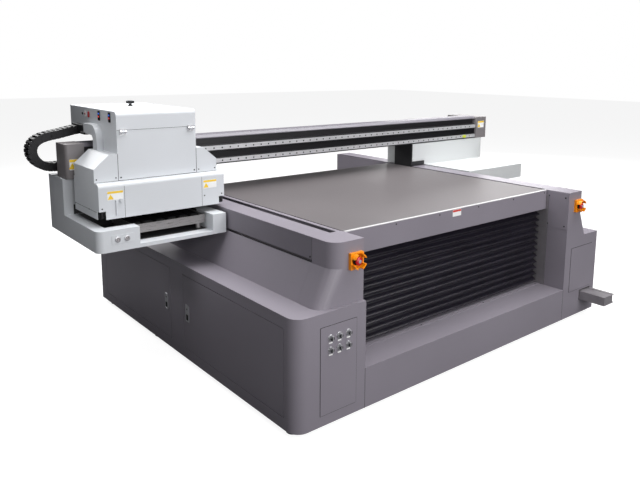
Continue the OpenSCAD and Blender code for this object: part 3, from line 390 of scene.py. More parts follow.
def make_bellows(name, y_out, y_in, z_low, z_high, x_low, x_high, seed):
    """A pleated cloth wall between two heights, with soft outer folds that sag a little."""
    profile = []
    pitch = (z_high - z_low) / PLEATS
    for i in range(PLEATS):
        for share, reach in FOLD:
            profile.append(((i + share) * pitch, reach, i))
    profile.append((PLEATS * pitch, 0, PLEATS - 1))
    bm = bmesh.new()
    grid = []
    for c in range(COLUMNS + 1):
        t = c / COLUMNS
        x = x_low + (x_high - x_low) * t
        ends = min(1.0, 8 * t, 8 * (1 - t))
        line = []
        for height, reach, fold in profile:
            wave = noise.noise(Vector((x * 2.2, fold * 3.7, seed)))
            ripple = noise.noise(Vector((x * 9.0, fold * 5.1, seed + 9)))
            sag = (wave * WAVE + ripple * RIPPLE) * ends * (0.35 + 0.65 * reach)
            depth = y_in + (y_out - y_in) * reach * (0.93 + 0.07 * ripple)
            level = min(max(z_low + height + sag, z_low), z_high)
            line.append(bm.verts.new((x, depth, level)))
        grid.append(line)
    for a, b in zip(grid, grid[1:]):
        for k in range(len(profile) - 1):
            bm.faces.new((a[k], b[k], b[k + 1], a[k + 1]))
    piece = make_piece(name, bm, bellows_cloth, "base", smooth=True)
    thick = piece.modifiers.new("cloth", "SOLIDIFY")
    thick.thickness = CLOTH_T
    thick.offset = 0
    smooth = piece.modifiers.new("smooth", "SUBSURF")
    smooth.levels = 1
    smooth.render_levels = 1
    return piece


bellows_lo, bellows_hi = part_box("bellows")
inset = 1.5 * MM
front_bellows = make_bellows("bellows_front", bellows_lo.y + inset, bellows_lo.y + BELLOWS_D - inset,
                             bellows_lo.z + 3 * MM, bellows_hi.z - inset,
                             bellows_lo.x + inset, bellows_hi.x - inset, 1.0)
rear_bellows = make_bellows("bellows_rear", bellows_hi.y - inset, bellows_hi.y - BELLOWS_D + inset,
                            bellows_lo.z + 1 * MM, bellows_hi.z - inset,
                            bellows_lo.x + inset, bellows_hi.x - inset, 5.0)
for piece in (front_bellows, rear_bellows):
    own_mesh(piece)
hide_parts("bellows")


# ---------------------------------------------------------------- cable chain

LINK_H, PITCH = 50 * MM, 25 * MM
PLATE_T = 7 * MM
HUB = ((0.07, -1 * MM), (0.07, 0.9 * MM), (0.04, 1.4 * MM), (0, 1.4 * MM))
CABLES, CABLE_R, CABLE_PITCH = 5, 6 * MM, 15 * MM
SAG = 34 * MM
chain_lo, chain_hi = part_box("x_chain_bend")
runs_lo, runs_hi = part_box("x_chain_runs")
elbow_lo, elbow_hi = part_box("elbow_conduit")
bend_z = (chain_lo.z + chain_hi.z) / 2
bend_r = (chain_hi.z - chain_lo.z) / 2 - LINK_H / 2
bend_x = chain_hi.x
chain_y = (chain_lo.y + chain_hi.y) / 2
chain_w = chain_hi.y - chain_lo.y - 4 * MM
run_end = elbow_hi.x - 2 * MM


def add_link(bm, place, length, height, width):
    """One link: a side plate on each side, a rib across outside and inside, and its hinge hubs."""
    turn = place.to_3x3()
    outline = rounded(length * 1.12, height, height * 0.12, 3)
    for side in (-1, 1):
        base = place @ Vector((0, side * (width / 2 - PLATE_T / 2) - PLATE_T / 2, 0))
        add_slab(bm, outline, base, turn @ X, turn @ Z, turn @ (Y * PLATE_T))
        for level in (-0.3, 0.3):
            hub = place @ Vector((length / 2, side * width / 2, level * height))
            add_lathe(bm, hub, turn @ (Y * side), [(height * share, out) for share, out in HUB], 8)
    for level in (-1, 1):
        half = Vector((length * 0.3, width / 2 - PLATE_T, 2 * MM))
        centre = Vector((0, 0, level * (height / 2 - 1.6 * MM)))
        corners = add_box(bm, centre - half, centre + half)
        bmesh.ops.transform(bm, matrix=place, verts=corners)


def add_chain(bm, line):
    """Links and cables along a line of points in the X-Z plane, one link between each two."""
    for i, (a, b) in enumerate(zip(line, line[1:])):
        step = b - a
        turn = Matrix.Rotation(math.atan2(-step.z, step.x), 4, "Y")
        add_link(bm, Matrix.Translation((a + b) / 2) @ turn, step.length, LINK_H - 2 * MM,
                 chain_w - (2 * MM if i % 2 else 5 * MM))
    for k in range(CABLES):
        shift = Y * (k - CABLES // 2) * CABLE_PITCH
        add_tube(bm, [p + shift for p in line], CABLE_R, 8)


def chain_point(x, z):
    """A point on the chain's middle line."""
    return Vector((x, chain_y, z))


upper_z, lower_z = bend_z + bend_r, bend_z - bend_r


def sagging(line):
    """The line with the upper run's sag: nothing at its carriage end and most just past the bend's top."""
    made = []
    for p in line:
        reach = min(max((run_end - p.x) / (run_end - bend_x + bend_r), 0), 1)
        high = min(max((p.z - lower_z) / (upper_z - lower_z), 0), 1)
        made.append(p - Z * SAG * high * high * math.sin(reach * math.pi * 0.62) ** 1.6)
    return made


count = round((run_end - bend_x) / PITCH)
upper_line = [chain_point(bend_x + (run_end - bend_x) * i / count, upper_z) for i in range(count + 1)]
count = round(math.pi * bend_r / PITCH)
angles = [math.pi / 2 + math.pi * i / count for i in range(count + 1)]
bend_line = [chain_point(bend_x + bend_r * math.cos(a), bend_z + bend_r * math.sin(a)) for a in angles]
count = round((runs_hi.x - bend_x) / PITCH)
lower_line = [chain_point(bend_x + (runs_hi.x - bend_x) * i / count, lower_z) for i in range(count + 1)]

bm = bmesh.new()
add_chain(bm, sagging(upper_line))
upper_run = make_piece("chain_upper_run", bm, black_plastic, None)
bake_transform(upper_run)
bm = bmesh.new()
add_chain(bm, lower_line)
lower_run = make_piece("chain_lower_run", bm, black_plastic, "gantry")
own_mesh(lower_run)
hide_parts("x_chain_runs")
bm = bmesh.new()
add_chain(bm, sagging(bend_line))
chain_bend = make_piece("chain_bend_links", bm, black_plastic, "chain_bend")
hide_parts("x_chain_bend")

bm = bmesh.new()
sleeve_lo = Vector((elbow_lo.x + 2.5 * MM, at(0, 1515.5, 0).y, elbow_hi.z - 53 * MM))
sleeve_hi = Vector((elbow_hi.x - 0.5 * MM, chain_hi.y - 4 * MM, elbow_hi.z - 14.5 * MM))
add_box(bm, sleeve_lo, sleeve_hi)
add_box(bm, Vector((sleeve_lo.x - 8 * MM, sleeve_lo.y - 28 * MM, sleeve_lo.z - 12 * MM)),
        Vector((sleeve_hi.x, sleeve_lo.y + 42 * MM, sleeve_lo.z + 1 * MM)))
make_piece("chain_end_bracket", bm, black_plastic, "carriage", bevel=2 * MM)


# ---------------------------------------------------------------- emergency stops

# Turned profiles are (radius, height) pairs in millimetres.
BUTTON = ((0, 0), (11, 0.3), (17, 2.2), (20.4, 5.5), (20.8, 9), (19, 12.5), (12, 13.8), (9.8, 15))
BUTTON_SHAFT_R = 9.8
BUTTON_CENTRE = ((0, 0), (8, 0), (9, 0.5), (9, 1.6), (0, 1.6))
COLLAR = ((13, 0), (21, 0), (23, 1.5), (23, 11), (13, 11), (13, 0.1))
CENTRE_OUT, COLLAR_BACK = 0.6 * MM, 19.5 * MM

for side in ("left", "right"):
    lo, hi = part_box(f"estop_{side}")
    centre = Vector(((lo.x + hi.x) / 2, lo.y, (lo.z + hi.z) / 2))
    bm = bmesh.new()
    add_turned(bm, centre, Y, (*BUTTON, (BUTTON_SHAFT_R, (hi.y - lo.y) / MM)), 40)
    button = make_piece(f"stop_{side}_button", bm, red_plastic, f"stop_{side}", smooth=True)
    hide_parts(f"estop_{side}")
    bm = bmesh.new()
    add_turned(bm, centre - Y * CENTRE_OUT, Y, BUTTON_CENTRE, 24)
    make_piece(f"stop_{side}_centre", bm, button_grey, f"stop_{side}", smooth=True)
    bm = bmesh.new()
    add_turned(bm, centre + Y * COLLAR_BACK, Y, COLLAR, 32)
    make_piece(f"stop_{side}_collar", bm, black_plastic, "base", smooth=True)


# ---------------------------------------------------------------- switches

SWITCHES = 6
GRIP_W, GRIP_T = 5 * MM, 4 * MM
TAG_W, TAG_H, TAG_DROP = 22 * MM, 7 * MM, 25 * MM

panel_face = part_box("switch_panel")[0].y
collars, tags = bmesh.new(), bmesh.new()
for i in range(1, SWITCHES + 1):
    lo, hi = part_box(f"knob_{i}")
    centre = Vector(((lo.x + hi.x) / 2, lo.y, (lo.z + hi.z) / 2))
    radius = (hi.x - lo.x) / 2
    face = Vector((centre.x, panel_face, centre.z))
    bore = radius + 0.6 * MM
    add_lathe(collars, face, -Y, [
        (bore, 0), (radius + 3 * MM, 0), (radius + 3 * MM, 2 * MM), (radius + 2 * MM, 3.2 * MM),
        (bore, 3.2 * MM), (bore, 0.1 * MM)], 28)
    bm = bmesh.new()
    add_lathe(bm, centre, -Y, [
        (radius * 0.72, -0.2 * MM), (radius * 0.72, 0.5 * MM), (radius * 0.6, 0.9 * MM), (0, 0.9 * MM)], 24)
    make_piece(f"knob_{i}_core", bm, black_plastic, f"switch_{i}", smooth=True)
    bm = bmesh.new()
    add_slab(bm, rounded(GRIP_W, radius * 1.7, 2 * MM), centre, X, Z, -Y * GRIP_T)
    make_piece(f"knob_{i}_grip", bm, silver, f"switch_{i}", bevel=0.8 * MM)
    add_slab(tags, rounded(TAG_W, TAG_H, 1.5 * MM), face - Z * TAG_DROP, X, Z, -Y * 0.8 * MM)
make_piece("switch_collars", collars, silver, "base", smooth=True)
make_piece("switch_tags", tags, label_white, "base")


# ---------------------------------------------------------------- seams: painted shade in the gaps, and the bellows guide

JOINT_MARGIN = 5 * MM
ACCESS_PANEL = ((2322, -2, 213), (2590, 0, 520))
SKIRT_TOP_Z = 797
GUIDE = ((2246.2, 150, 247.5), (2250.6, 243, 879))
GUIDE_LIP = ((2245.4, 150, 247.5), (2250.6, 156, 879))


def add_border(name, lo, hi, body):
    """A dark outline round a flush panel on a front face: painted shade in the panel's gap."""
    width, height = hi.x - lo.x + JOINT_MARGIN, hi.z - lo.z + JOINT_MARGIN
    bm = bmesh.new()
    add_slab(bm, rounded(width, height, 4 * MM), Vector(((lo.x + hi.x) / 2, hi.y, (lo.z + hi.z) / 2)),
             X, Z, -Y * 0.5 * MM)
    make_piece(name, bm, painted_shade, body)


ledge_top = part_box("bay_ledges")[1].z
right_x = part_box("right_cabinet")[0].x
end_cap_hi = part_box("left_front_cap")[1]
add_border("switch_panel_joint_shade", *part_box("switch_panel"), "base")
add_border("access_panel_joint_shade", at(*ACCESS_PANEL[0]), at(*ACCESS_PANEL[1]), "base")
# Dark strips down the front panel joints and across the end cap: painted shade in the gaps.
bm = bmesh.new()
for x in (cabinet_hi.x, right_x):
    add_box(bm, (x - 1.2 * MM, -0.25 * MM + cabinet_lo.y, cabinet_lo.z),
            (x + 1.2 * MM, cabinet_lo.y + 1 * MM, ledge_top - 3 * MM))
add_box(bm, (end_cap_hi.x - 192.3 * MM, end_cap_hi.y - 0.4 * MM, at(0, 0, SKIRT_TOP_Z).z),
        (end_cap_hi.x - 191 * MM, end_cap_hi.y + 1.2 * MM, end_cap_hi.z))
make_piece("body_seam_shade", bm, painted_shade, "base")

bm = bmesh.new()
for low, high in (GUIDE, GUIDE_LIP):
    add_box(bm, at(*low), at(*high))
make_piece("bellows_guide", bm, galvanised, "base", bevel=0.4 * MM)


# ---------------------------------------------------------------- doors

PULL_H, PULL_W, PULL_INSET, PULL_UP = 103 * MM, 45 * MM, 28 * MM, 170 * MM
PULL_RIM_Y, PULL_RIM_Z = 16 * MM, 44 * MM
LOCK = ((5, 0), (5, 0.8), (4, 1), (0, 1))

for door, body, end in (("door_front", "front_door", 1), ("door_rear", "rear_door", -1)):
    lo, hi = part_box(door)
    centre_y = hi.y - PULL_INSET - PULL_W / 2 if end > 0 else lo.y + PULL_INSET + PULL_W / 2
    centre = Vector((lo.x, centre_y, lo.z + PULL_UP + PULL_H / 2))
    bm = bmesh.new()
    add_slab(bm, rounded(PULL_W - 1 * MM, PULL_H - 1 * MM, 7 * MM), centre, Y, Z, -X * 0.8 * MM)
    for way in (-1, 1):
        add_slab(bm, rounded(4 * MM, PULL_H - 14 * MM, 1.8 * MM), centre + Y * way * PULL_RIM_Y,
                 Y, Z, -X * 2 * MM)
    for way in (-1, 1):
        add_slab(bm, rounded(34 * MM, 4 * MM, 1.8 * MM), centre + Z * way * PULL_RIM_Z, Y, Z, -X * 2 * MM)
    add_slab(bm, rounded(20 * MM, 40 * MM, 4 * MM), centre + Z * 18 * MM, Y, Z, -X * 1.9 * MM)
    make_piece(f"{door}_pull", bm, silver, body, bevel=0.5 * MM)
    # A dark plate and lock disc behind the pull: painted shade of the grip recess.
    bm = bmesh.new()
    add_slab(bm, rounded(26 * MM, 34 * MM, 4 * MM), centre - Z * 24 * MM, Y, Z, -X * 1.1 * MM)
    add_turned(bm, centre + Z * 26 * MM - X * 1.8 * MM, -X, LOCK, 16)
    make_piece(f"{door}_pull_recess_shade", bm, hole_shade_and_pad_black, body)


# ---------------------------------------------------------------- rails

HOLE = 60 * MM
X_HOLE_IN, X_HOLE_R = 13 * MM, 5.5 * MM
Y_HOLE_IN, Y_HOLE_R = 11 * MM, 5 * MM
HOLE_SINK = 0.22 * MM
BUMPER = (2930, 0, 1119)
BUMPER_W, BUMPER_H = 38 * MM, 22 * MM


def add_rail_hole(bm, base, axis, radius):
    """A counterbored fixing hole: a dark dish with a thin lip, painted shade in place of the hole's depth.
    """
    add_lathe(bm, base, axis, [
        (radius, -0.3 * MM), (radius, 0.25 * MM), (radius * 0.86, 0.3 * MM), (radius * 0.8, 0.05 * MM),
        (0, 0.05 * MM)], 12)


rail_lo, rail_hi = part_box("x_rails")
bm = bmesh.new()
for z in (rail_lo.z + X_HOLE_IN, rail_hi.z - X_HOLE_IN):
    for i in range(int((rail_hi.x - rail_lo.x) / HOLE)):
        add_rail_hole(bm, Vector((rail_lo.x + (i + 0.5) * HOLE, rail_lo.y, z)), -Y, X_HOLE_R)
make_piece("x_rail_hole_shade", bm, hole_shade_and_pad_black, "gantry")

deck_lo, deck_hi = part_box("y_rails")
bm = bmesh.new()
for x in (deck_lo.x + Y_HOLE_IN, deck_hi.x - Y_HOLE_IN):
    for i in range(int((deck_hi.y - deck_lo.y) / (2 * HOLE))):
        base = Vector((x, deck_lo.y + (2 * i + 1) * HOLE, deck_hi.z - HOLE_SINK))
        add_rail_hole(bm, base, Z, Y_HOLE_R)
make_piece("y_rail_hole_shade", bm, hole_shade_and_pad_black, "base")

bm = bmesh.new()
spot = at(*BUMPER)
thick = (rail_lo.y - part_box("lower_cover")[1].y) * 0.8
add_slab(bm, rounded(BUMPER_W, BUMPER_H, 5 * MM), Vector((spot.x, rail_lo.y, spot.z)), X, Z, -Y * thick)
add_lathe(bm, Vector((spot.x - BUMPER_W / 2, rail_lo.y - thick / 2, spot.z)), -X, [
    (thick * 0.45, 0), (thick * 0.45, 9 * MM), (thick * 0.3, 12 * MM), (0, 12.5 * MM)], 16)
make_piece("rail_bumper", bm, bumper_green, "gantry", bevel=1 * MM)


# ---------------------------------------------------------------- carriage details

HEAD_W, LAMP_W = 459 * MM, 129 * MM
TOP_KNOB = (-80, 1550, 1485)
TOP_KNOB_BODY = ((13, 0), (13, 4), (8.5, 6), (8, 14), (19, 15.5), (22.5, 18), (22.5, 28), (20, 32),
                 (12, 33), (0, 33))
TOP_KNOB_RIB = ((3.5, 16.5), (4.2, 18), (4.2, 27.5), (3, 30))
TOP_KNOB_RIBS = 8
ROLLER = ((6, 0), (11, 1), (12, 4), (12, 30), (11, 33), (5, 34), (5, 38))
LAMP_KNOB = ((7, 0), (7, 3), (4, 5), (4, 9), (9, 11), (9, 19), (6, 22), (0, 22))
LAMP_KNOB_Z = 1150
SIDE_SCREW_Y = (1217, 1425)
HINGE_W, LEAF_T, LEAF_UP, LEAF_DOWN = 36 * MM, 2.5 * MM, 12.5 * MM, 14 * MM
COVER_SEAM_X = (-330, 125)
SIDE_SEAM_Z = (965, 967)
DISPLAY_Y = (1209, 1360)
DISPLAY_DROP = 67 * MM
SIDE_SWITCH = (1574, 1447)
SWITCH_DOT = ((6, 0), (6, 1.5), (4, 2.6), (0, 2.8))
SIDE_SOCKET = ((8, 0), (8, 2), (6, 3), (5, 1.6), (0, 1.6))
SOCKET_STEP = 46 * MM

head_lo, head_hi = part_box("head_box")
cover_lo, cover_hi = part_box("lower_cover")
lid_lo, lid_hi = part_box("head_front_cover")
lamp_lo, lamp_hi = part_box("lamp_covers")
head_x1 = head_lo.x + HEAD_W

bm = bmesh.new()
knob = at(*TOP_KNOB)
add_turned(bm, knob, Z, TOP_KNOB_BODY, 32)
for i in range(TOP_KNOB_RIBS):
    a = 2 * math.pi * i / TOP_KNOB_RIBS
    add_turned(bm, knob + Vector((math.cos(a), math.sin(a), 0)) * 21 * MM, Z, TOP_KNOB_RIB, 10)
make_piece("head_top_knob", bm, black_plastic, "carriage", smooth=True)

bm = bmesh.new()
for x in (lid_lo.x + 14 * MM, lid_hi.x - 14 * MM):
    add_screw(bm, Vector((x, head_lo.y, lid_lo.z + 14 * MM)), -Y, 4.5 * MM)
make_piece("front_cover_screws", bm, black_metal, "front_cover", smooth=True)

bm = bmesh.new()
for x in (cover_lo.x + 16 * MM, cover_hi.x - 16 * MM, cover_lo.x + 122 * MM, cover_hi.x - 128 * MM):
    add_screw(bm, Vector((x, cover_lo.y, cover_lo.z + 60 * MM)), -Y, 4 * MM)
for y in SIDE_SCREW_Y:
    add_screw(bm, Vector((cover_lo.x, at(0, y, 0).y, cover_lo.z + 38 * MM)), -X, 4 * MM)
for x in (lamp_lo.x + 12 * MM, head_lo.x - 14 * MM, head_x1 + 14 * MM, lamp_hi.x - 12 * MM):
    add_screw(bm, Vector((x, lamp_lo.y, lamp_lo.z + 18 * MM)), -Y, 4 * MM)
make_piece("carriage_screws", bm, black_metal, "carriage", smooth=True)

bm = bmesh.new()
for x in (cover_lo.x + 17 * MM, cover_hi.x - 17 * MM):
    add_turned(bm, Vector((x, cover_lo.y + 14 * MM, cover_lo.z + 6 * MM)), Z, ROLLER, 24)
make_piece("corner_rollers", bm, black_plastic, "carriage", smooth=True)

barrel_lo, barrel_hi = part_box("cover_hinges")
upper, lower = bmesh.new(), bmesh.new()
for x in (barrel_lo.x + HINGE_W / 2, barrel_hi.x - HINGE_W / 2):
    base = Vector((x, head_lo.y, (barrel_lo.z + barrel_hi.z) / 2))
    for bm, rise, height in ((upper, LEAF_UP, 9 * MM), (lower, -LEAF_DOWN, 11 * MM)):
        add_slab(bm, rounded(HINGE_W - 1 * MM, height, 2 * MM), base + Z * rise, X, Z, -Y * LEAF_T)
        for dx in (-11, 11):
            add_screw(bm, base + Vector((dx * MM, -LEAF_T, rise)), -Y, 2.5 * MM)
make_piece("hinge_upper_leaves", upper, silver, "carriage", bevel=0.5 * MM)
make_piece("hinge_lower_leaves", lower, silver, "front_cover", bevel=0.5 * MM)

# Dark strips along the carriage cover joints: painted shade in the gaps.
bm = bmesh.new()
add_box(bm, (head_lo.x + 1 * MM, head_lo.y - 0.3 * MM, lid_hi.z - 0.5 * MM),
        (head_x1 - 1 * MM, head_lo.y + 1 * MM, lid_hi.z + 1.3 * MM))
add_box(bm, (lid_lo.x, head_lo.y - 0.3 * MM, cover_hi.z),
        (lid_hi.x, head_lo.y + 2.5 * MM, cover_hi.z + 2.4 * MM))
for x in (head_lo.x, head_x1):
    add_box(bm, (x - 1.3 * MM, head_lo.y - 0.3 * MM, cover_hi.z + 0.2 * MM),
            (x + 1.3 * MM, head_lo.y + 2 * MM, lamp_hi.z))
for x in (at(place, 0, 0).x for place in COVER_SEAM_X):
    add_box(bm, (x - 0.9 * MM, cover_lo.y - 0.2 * MM, cover_lo.z + 0.5 * MM),
            (x + 0.9 * MM, cover_lo.y + 1 * MM, cover_hi.z - 21 * MM))
add_box(bm, (cover_lo.x - 0.3 * MM, cover_lo.y + 33 * MM, at(0, 0, SIDE_SEAM_Z[0]).z),
        (cover_lo.x + 1 * MM, cover_hi.y - 1 * MM, at(0, 0, SIDE_SEAM_Z[1]).z))
for x in (lamp_lo.x, head_x1):
    add_box(bm, (x + 1 * MM, head_lo.y - 1.2 * MM, cover_hi.z),
            (x + LAMP_W, head_lo.y + 1 * MM, cover_hi.z + 1.6 * MM))
make_piece("carriage_seam_shade", bm, painted_shade, "carriage")

bm = bmesh.new()
add_turned(bm, Vector((lamp_hi.x, head_lo.y + 40 * MM, at(0, 0, LAMP_KNOB_Z).z)), X, LAMP_KNOB, 20)
make_piece("lamp_knob", bm, black_plastic, "carriage", smooth=True)

# A dark strip under the back of the carriage: painted shade where the underside lies in shadow.
bm = bmesh.new()
add_slab(bm, [(-0.355, -0.012), (0.355, -0.012), (0.355, 0.03), (-0.355, 0.03)],
         Vector((cover_lo.x + 368 * MM, cover_hi.y - 9 * MM, cover_lo.z + 4 * MM)), X, Z, Y * 4 * MM)
make_piece("carriage_shade_strip", bm, painted_shade, "carriage")

bezels, glass, blue, red = bmesh.new(), bmesh.new(), bmesh.new(), bmesh.new()
for y in DISPLAY_Y:
    centre = Vector((head_lo.x, at(0, y, 0).y, head_hi.z - DISPLAY_DROP))
    add_slab(bezels, rounded(30 * MM, 54 * MM, 3 * MM), centre, Y, Z, -X * 3 * MM)
    add_slab(glass, rounded(23 * MM, 45 * MM, 1 * MM), centre - X * 3 * MM, Y, Z, -X * 0.5 * MM)
    lit = centre - X * 3.5 * MM
    for bm, rise in ((blue, 11 * MM), (red, -5 * MM)):
        add_slab(bm, rounded(15 * MM, 8 * MM, 1 * MM), lit + Z * rise, Y, Z, -X * 0.3 * MM)
make_piece("display_bezels", bezels, black_plastic, "carriage", bevel=0.8 * MM)
make_piece("display_glass", glass, screen_glass, "carriage")
make_piece("display_blue", blue, glow_blue, "carriage")
make_piece("display_red", red, glow_red, "carriage")

spot = Vector((head_lo.x, at(0, SIDE_SWITCH[0], 0).y, at(0, 0, SIDE_SWITCH[1]).z))
bm = bmesh.new()
add_slab(bm, rounded(26 * MM, 34 * MM, 3 * MM), spot, Y, Z, -X * 2 * MM)
make_piece("switch_plate", bm, label_white, "carriage", bevel=0.6 * MM)
bm = bmesh.new()
add_turned(bm, spot - X * 2 * MM, -X, SWITCH_DOT, 20)
make_piece("switch_dot", bm, red_plastic, "carriage", smooth=True)
bm = bmesh.new()
add_turned(bm, spot + Y * SOCKET_STEP, -X, SIDE_SOCKET, 24)
make_piece("side_socket", bm, black_plastic, "carriage", smooth=True)


# ---------------------------------------------------------------- labels

LABEL_T, PRINT_T = 0.5 * MM, 0.25 * MM
APRON_LABEL = (1305, 886)
APRON_SCREW_X = (445, 800, 1153, 1508, 1865, 2220)
APRON_SCREW_Z = 894


def add_label(name, x, y, z, width, height, body):
    """A plain plate with a coloured top band and a bare triangle, in place of a printed label."""
    centre = Vector((x, y, z))
    bm = bmesh.new()
    add_slab(bm, rounded(width, height, 3 * MM), centre, X, Z, -Y * LABEL_T)
    make_piece(f"{name}_plate", bm, label_white, body)
    bm = bmesh.new()
    band = height * 0.24
    top = centre + Z * (height - band - 2 * MM) / 2 - Y * LABEL_T
    add_slab(bm, rounded(width - 2 * MM, band, 2 * MM), top, X, Z, -Y * PRINT_T)
    side = height * 0.68
    corner = centre - X * width * 0.3 - Z * height * 0.14 - Y * 0.76 * MM
    add_slab(bm, [(-side / 2, -side * 0.4), (side / 2, -side * 0.4), (0, side * 0.46)],
             corner, X, Z, -Y * PRINT_T)
    make_piece(f"{name}_band", bm, label_yellow, body)


end_lo, end_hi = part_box("beam_end_covers")
for name, x, y, z, width, height, body, slot in (
    ("left_label", at(-380, 0, 0).x, cover_lo.y, 1053, 85, 47, "carriage", "painted_light"),
    ("right_label", at(177, 0, 0).x, cover_lo.y, 1053, 85, 47, "carriage", "painted_light"),
    ("beam_label", end_hi.x - 72 * MM, end_lo.y, 1215, 85, 60, "gantry", "painted_dark"),
    ("left_end_label", at(-446, 0, 0).x, end_lo.y, 1176, 76, 60, "gantry", "painted_dark"),
):
    add_label(name, x, y, at(0, 0, z).z, width * MM, height * MM, body)

apron_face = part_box("apron")[0].y
spot = Vector((at(APRON_LABEL[0], 0, 0).x, apron_face, at(0, 0, APRON_LABEL[1]).z))
bm = bmesh.new()
add_slab(bm, rounded(76 * MM, 40 * MM, 2 * MM), spot, X, Z, -Y * LABEL_T)
make_piece("apron_label_plate", bm, label_white, "table")
bm = bmesh.new()
add_slab(bm, rounded(74 * MM, 12 * MM, 1.5 * MM), spot + Z * 12 * MM - Y * LABEL_T, X, Z, -Y * PRINT_T)
make_piece("apron_label_band", bm, label_red, "table")

bm = bmesh.new()
for x in APRON_SCREW_X:
    add_screw(bm, Vector((at(x, 0, 0).x, apron_face, at(0, 0, APRON_SCREW_Z).z)), -Y, 4.5 * MM)
make_piece("apron_screws", bm, black_metal, "table", smooth=True)


# ---------------------------------------------------------------- station

CONNECTORS = (-383, 838)
CONNECTOR_X = (-27, 23)
CONNECTOR_RING = ((15, 0), (15, 3), (13, 4), (9.5, 4), (9, 1.2), (9, 0))
CONNECTOR_CORE = ((9, 0), (9, 1), (4, 1), (3.5, 3), (0, 3))
# Floor, left wall, rear wall and right wall of a black lining in the pocket: painted shade where the pocket
# lies in shadow
SHADE_LINER = (
    ((-449.5, 1060.5, 795.2), (144.5, 1476.5, 796.4)),
    ((-449.8, 1060.5, 796.4), (-448.6, 1476.5, 889.5)),
    ((-448.6, 1475.3, 796.4), (144.5, 1476.5, 889.5)),
    ((143.6, 1180, 796.4), (144.8, 1475.3, 889.5)),
)
# A dark sheet on the column front under the carriage: painted shade where the column lies in shadow
SHADE_FLAP = ((-465, 1478.4, 880), (227, 1479.8, 945))
FLAP_SCREWS, FLAP_SCREW_STEP = 9, 80
CAPS, CUP_H, CUP_DROP = 6, 40 * MM, 44.8 * MM

spot = Vector((at(CONNECTORS[0], 0, 0).x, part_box("station_shell")[0].y, at(0, 0, CONNECTORS[1]).z))
bm = bmesh.new()
add_slab(bm, rounded(118 * MM, 48 * MM, 4 * MM), spot, X, Z, -Y * 1.2 * MM)
make_piece("connector_plate", bm, light_paint, "gantry", bevel=0.5 * MM)
rings, cores = bmesh.new(), bmesh.new()
for dx in CONNECTOR_X:
    base = spot + X * dx * MM - Y * 1.2 * MM
    add_turned(rings, base, -Y, CONNECTOR_RING, 28)
    add_turned(cores, base, -Y, CONNECTOR_CORE, 28)
make_piece("connector_rings", rings, silver, "gantry", smooth=True)
make_piece("connector_cores", cores, button_grey, "gantry", smooth=True)

# Painted shade in the station pocket.
bm = bmesh.new()
for low, high in SHADE_LINER:
    add_box(bm, at(*low), at(*high))
make_piece("pocket_shade_liner", bm, painted_shade, "gantry")
# The dark column sheet with its screws: painted shade.
bm = bmesh.new()
add_box(bm, at(*SHADE_FLAP[0]), at(*SHADE_FLAP[1]))
for i in range(FLAP_SCREWS):
    add_screw(bm, at(-440 + i * FLAP_SCREW_STEP, SHADE_FLAP[0][1], 936), -Y, 3.5 * MM)
make_piece("column_shade_flap", bm, painted_shade, "gantry")

tray_lo, tray_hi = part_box("cap_tray")
pads, lips = bmesh.new(), bmesh.new()
step = (tray_hi.x - tray_lo.x) / CAPS
for i in range(CAPS):
    centre = Vector((tray_lo.x + (i + 0.5) * step, (tray_lo.y + tray_hi.y) / 2, tray_hi.z - CUP_DROP))
    add_slab(pads, rounded(step - 16 * MM, 210 * MM, 10 * MM), centre, X, Y, Z * CUP_H)
    add_slab(lips, rounded(step - 30 * MM, 196 * MM, 8 * MM), centre + Z * CUP_H, X, Y, Z * 3 * MM)
make_piece("cap_pads", pads, hole_shade_and_pad_black, "cap", bevel=1 * MM)
make_piece("cap_lips", lips, black_plastic, "cap", bevel=0.5 * MM)


# ---------------------------------------------------------------- stage

FLOOR_REACH, FLOOR_T = 30, 0.02
FLOOR_GLOW = 0.9
FILL = 0.04
# Soft boxes: name, place, target, width, height, power in watts, spread in degrees
LIGHTS = (
    ("top", (0.8, -0.2, 5.0), (0.5, 0.1, 0.5), 5.2, 6, 560, 180),
    ("front", (-0.4, -6.2, 2.4), (0.0, -0.5, 0.7), 5, 3, 228, 180),
    ("left_front", (-3.0, -2.8, 1.9), (-1.2, -0.9, 0.6), 1.0, 1.0, 14, 180),
    ("rear", (-1.2, 5.6, 4.0), (0.0, 1.2, 0.6), 5, 2, 200, 180),
    ("head_left", (-3.6, 0.2, 2.4), (-1.65, -0.1, 1.3), 0.8, 0.8, 0.8, 28),
    ("back", (7.4, 4.8, 2.4), (0.8, 0.1, 0.9), 3.4, 2.4, 90, 180),
)


def stage_floor():
    """A plain pale floor. It looks pale to the camera and throws little light back at the object."""
    bm = bmesh.new()
    add_box(bm, (-FLOOR_REACH, -FLOOR_REACH, -FLOOR_T), (FLOOR_REACH, FLOOR_REACH, 0))
    floor = make_piece("floor", bm, bpy.data.materials.new("floor"), None)
    material = floor.data.materials[0]
    material.use_nodes = True
    tree = material.node_tree
    shader = tree.nodes["Principled BSDF"]
    shader.inputs["Base Color"].default_value = (0.3, 0.3, 0.3, 1)
    shader.inputs["Roughness"].default_value = 0.9
    shader.inputs["Emission Color"].default_value = (1, 1, 1, 1)
    shader.inputs["Specular IOR Level"].default_value = 0
    shader.inputs["Emission Strength"].default_value = FLOOR_GLOW
    dim = tree.nodes.new("ShaderNodeBsdfDiffuse")
    dim.inputs["Color"].default_value = (0.12, 0.12, 0.125, 1)
    path = tree.nodes.new("ShaderNodeLightPath")
    mix = tree.nodes.new("ShaderNodeMixShader")
    tree.links.new(path.outputs["Is Camera Ray"], mix.inputs[0])
    tree.links.new(dim.outputs[0], mix.inputs[1])
    tree.links.new(shader.outputs[0], mix.inputs[2])
    tree.links.new(mix.outputs[0], tree.nodes["Material Output"].inputs["Surface"])


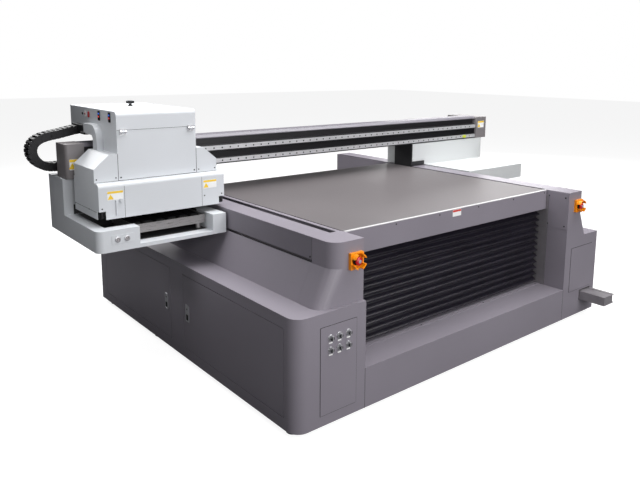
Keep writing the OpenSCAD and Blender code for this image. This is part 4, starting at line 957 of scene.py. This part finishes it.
def stage_world():
    """A white surround, with a dim even fill for the object."""
    world = bpy.data.worlds.new("studio")
    world.use_nodes = True
    bpy.context.scene.world = world
    tree = world.node_tree
    fill = tree.nodes["Background"]
    fill.inputs["Color"].default_value = (0.9, 0.92, 1.0, 1)
    fill.inputs["Strength"].default_value = FILL
    white = tree.nodes.new("ShaderNodeBackground")
    white.inputs["Color"].default_value = (1, 1, 1, 1)
    path = tree.nodes.new("ShaderNodeLightPath")
    mix = tree.nodes.new("ShaderNodeMixShader")
    tree.links.new(path.outputs["Is Camera Ray"], mix.inputs[0])
    tree.links.new(fill.outputs[0], mix.inputs[1])
    tree.links.new(white.outputs[0], mix.inputs[2])
    tree.links.new(mix.outputs[0], tree.nodes["World Output"].inputs["Surface"])


def area_light(name, place, target, width, height, power, spread):
    """A soft box that points at a target."""
    data = bpy.data.lights.new(name, "AREA")
    data.shape = "RECTANGLE"
    data.size, data.size_y, data.energy = width, height, power
    light = bpy.data.objects.new(name, data)
    light.location = place
    light.rotation_euler = (Vector(target) - Vector(place)).to_track_quat("-Z", "Y").to_euler()
    light.visible_camera = False
    data.spread = math.radians(spread)
    bpy.context.scene.collection.objects.link(light)


stage_floor()
stage_world()
for light in LIGHTS:
    area_light(*light)

scene = bpy.context.scene
scene.view_settings.view_transform = "Standard"


# ---------------------------------------------------------------- camera

EYE = (-1649, -2241, 1743)
YAW, DOWN, ROLL = 0.703, 0.162, 0.0096
LENS_MM, SHIFT_X, SHIFT_Y = 36.63, -0.030, -0.1085
forward = Vector((math.sin(YAW) * math.cos(DOWN), math.cos(YAW) * math.cos(DOWN), -math.sin(DOWN)))
right = Vector((math.cos(YAW), -math.sin(YAW), 0))
up = right.cross(forward)
level_right = right * math.cos(ROLL) + up * math.sin(ROLL)
level_up = up * math.cos(ROLL) - right * math.sin(ROLL)
lens = bpy.data.cameras.new("camera")
lens.sensor_width = 36
lens.lens = LENS_MM
lens.shift_x = SHIFT_X
lens.shift_y = SHIFT_Y
lens.clip_end = 200
camera = bpy.data.objects.new("camera", lens)
camera.matrix_world = Matrix.Translation(at(*EYE)) @ Matrix((
    (level_right.x, level_up.x, -forward.x, 0),
    (level_right.y, level_up.y, -forward.y, 0),
    (level_right.z, level_up.z, -forward.z, 0),
    (0, 0, 0, 1),
))
scene.collection.objects.link(camera)
scene.camera = camera
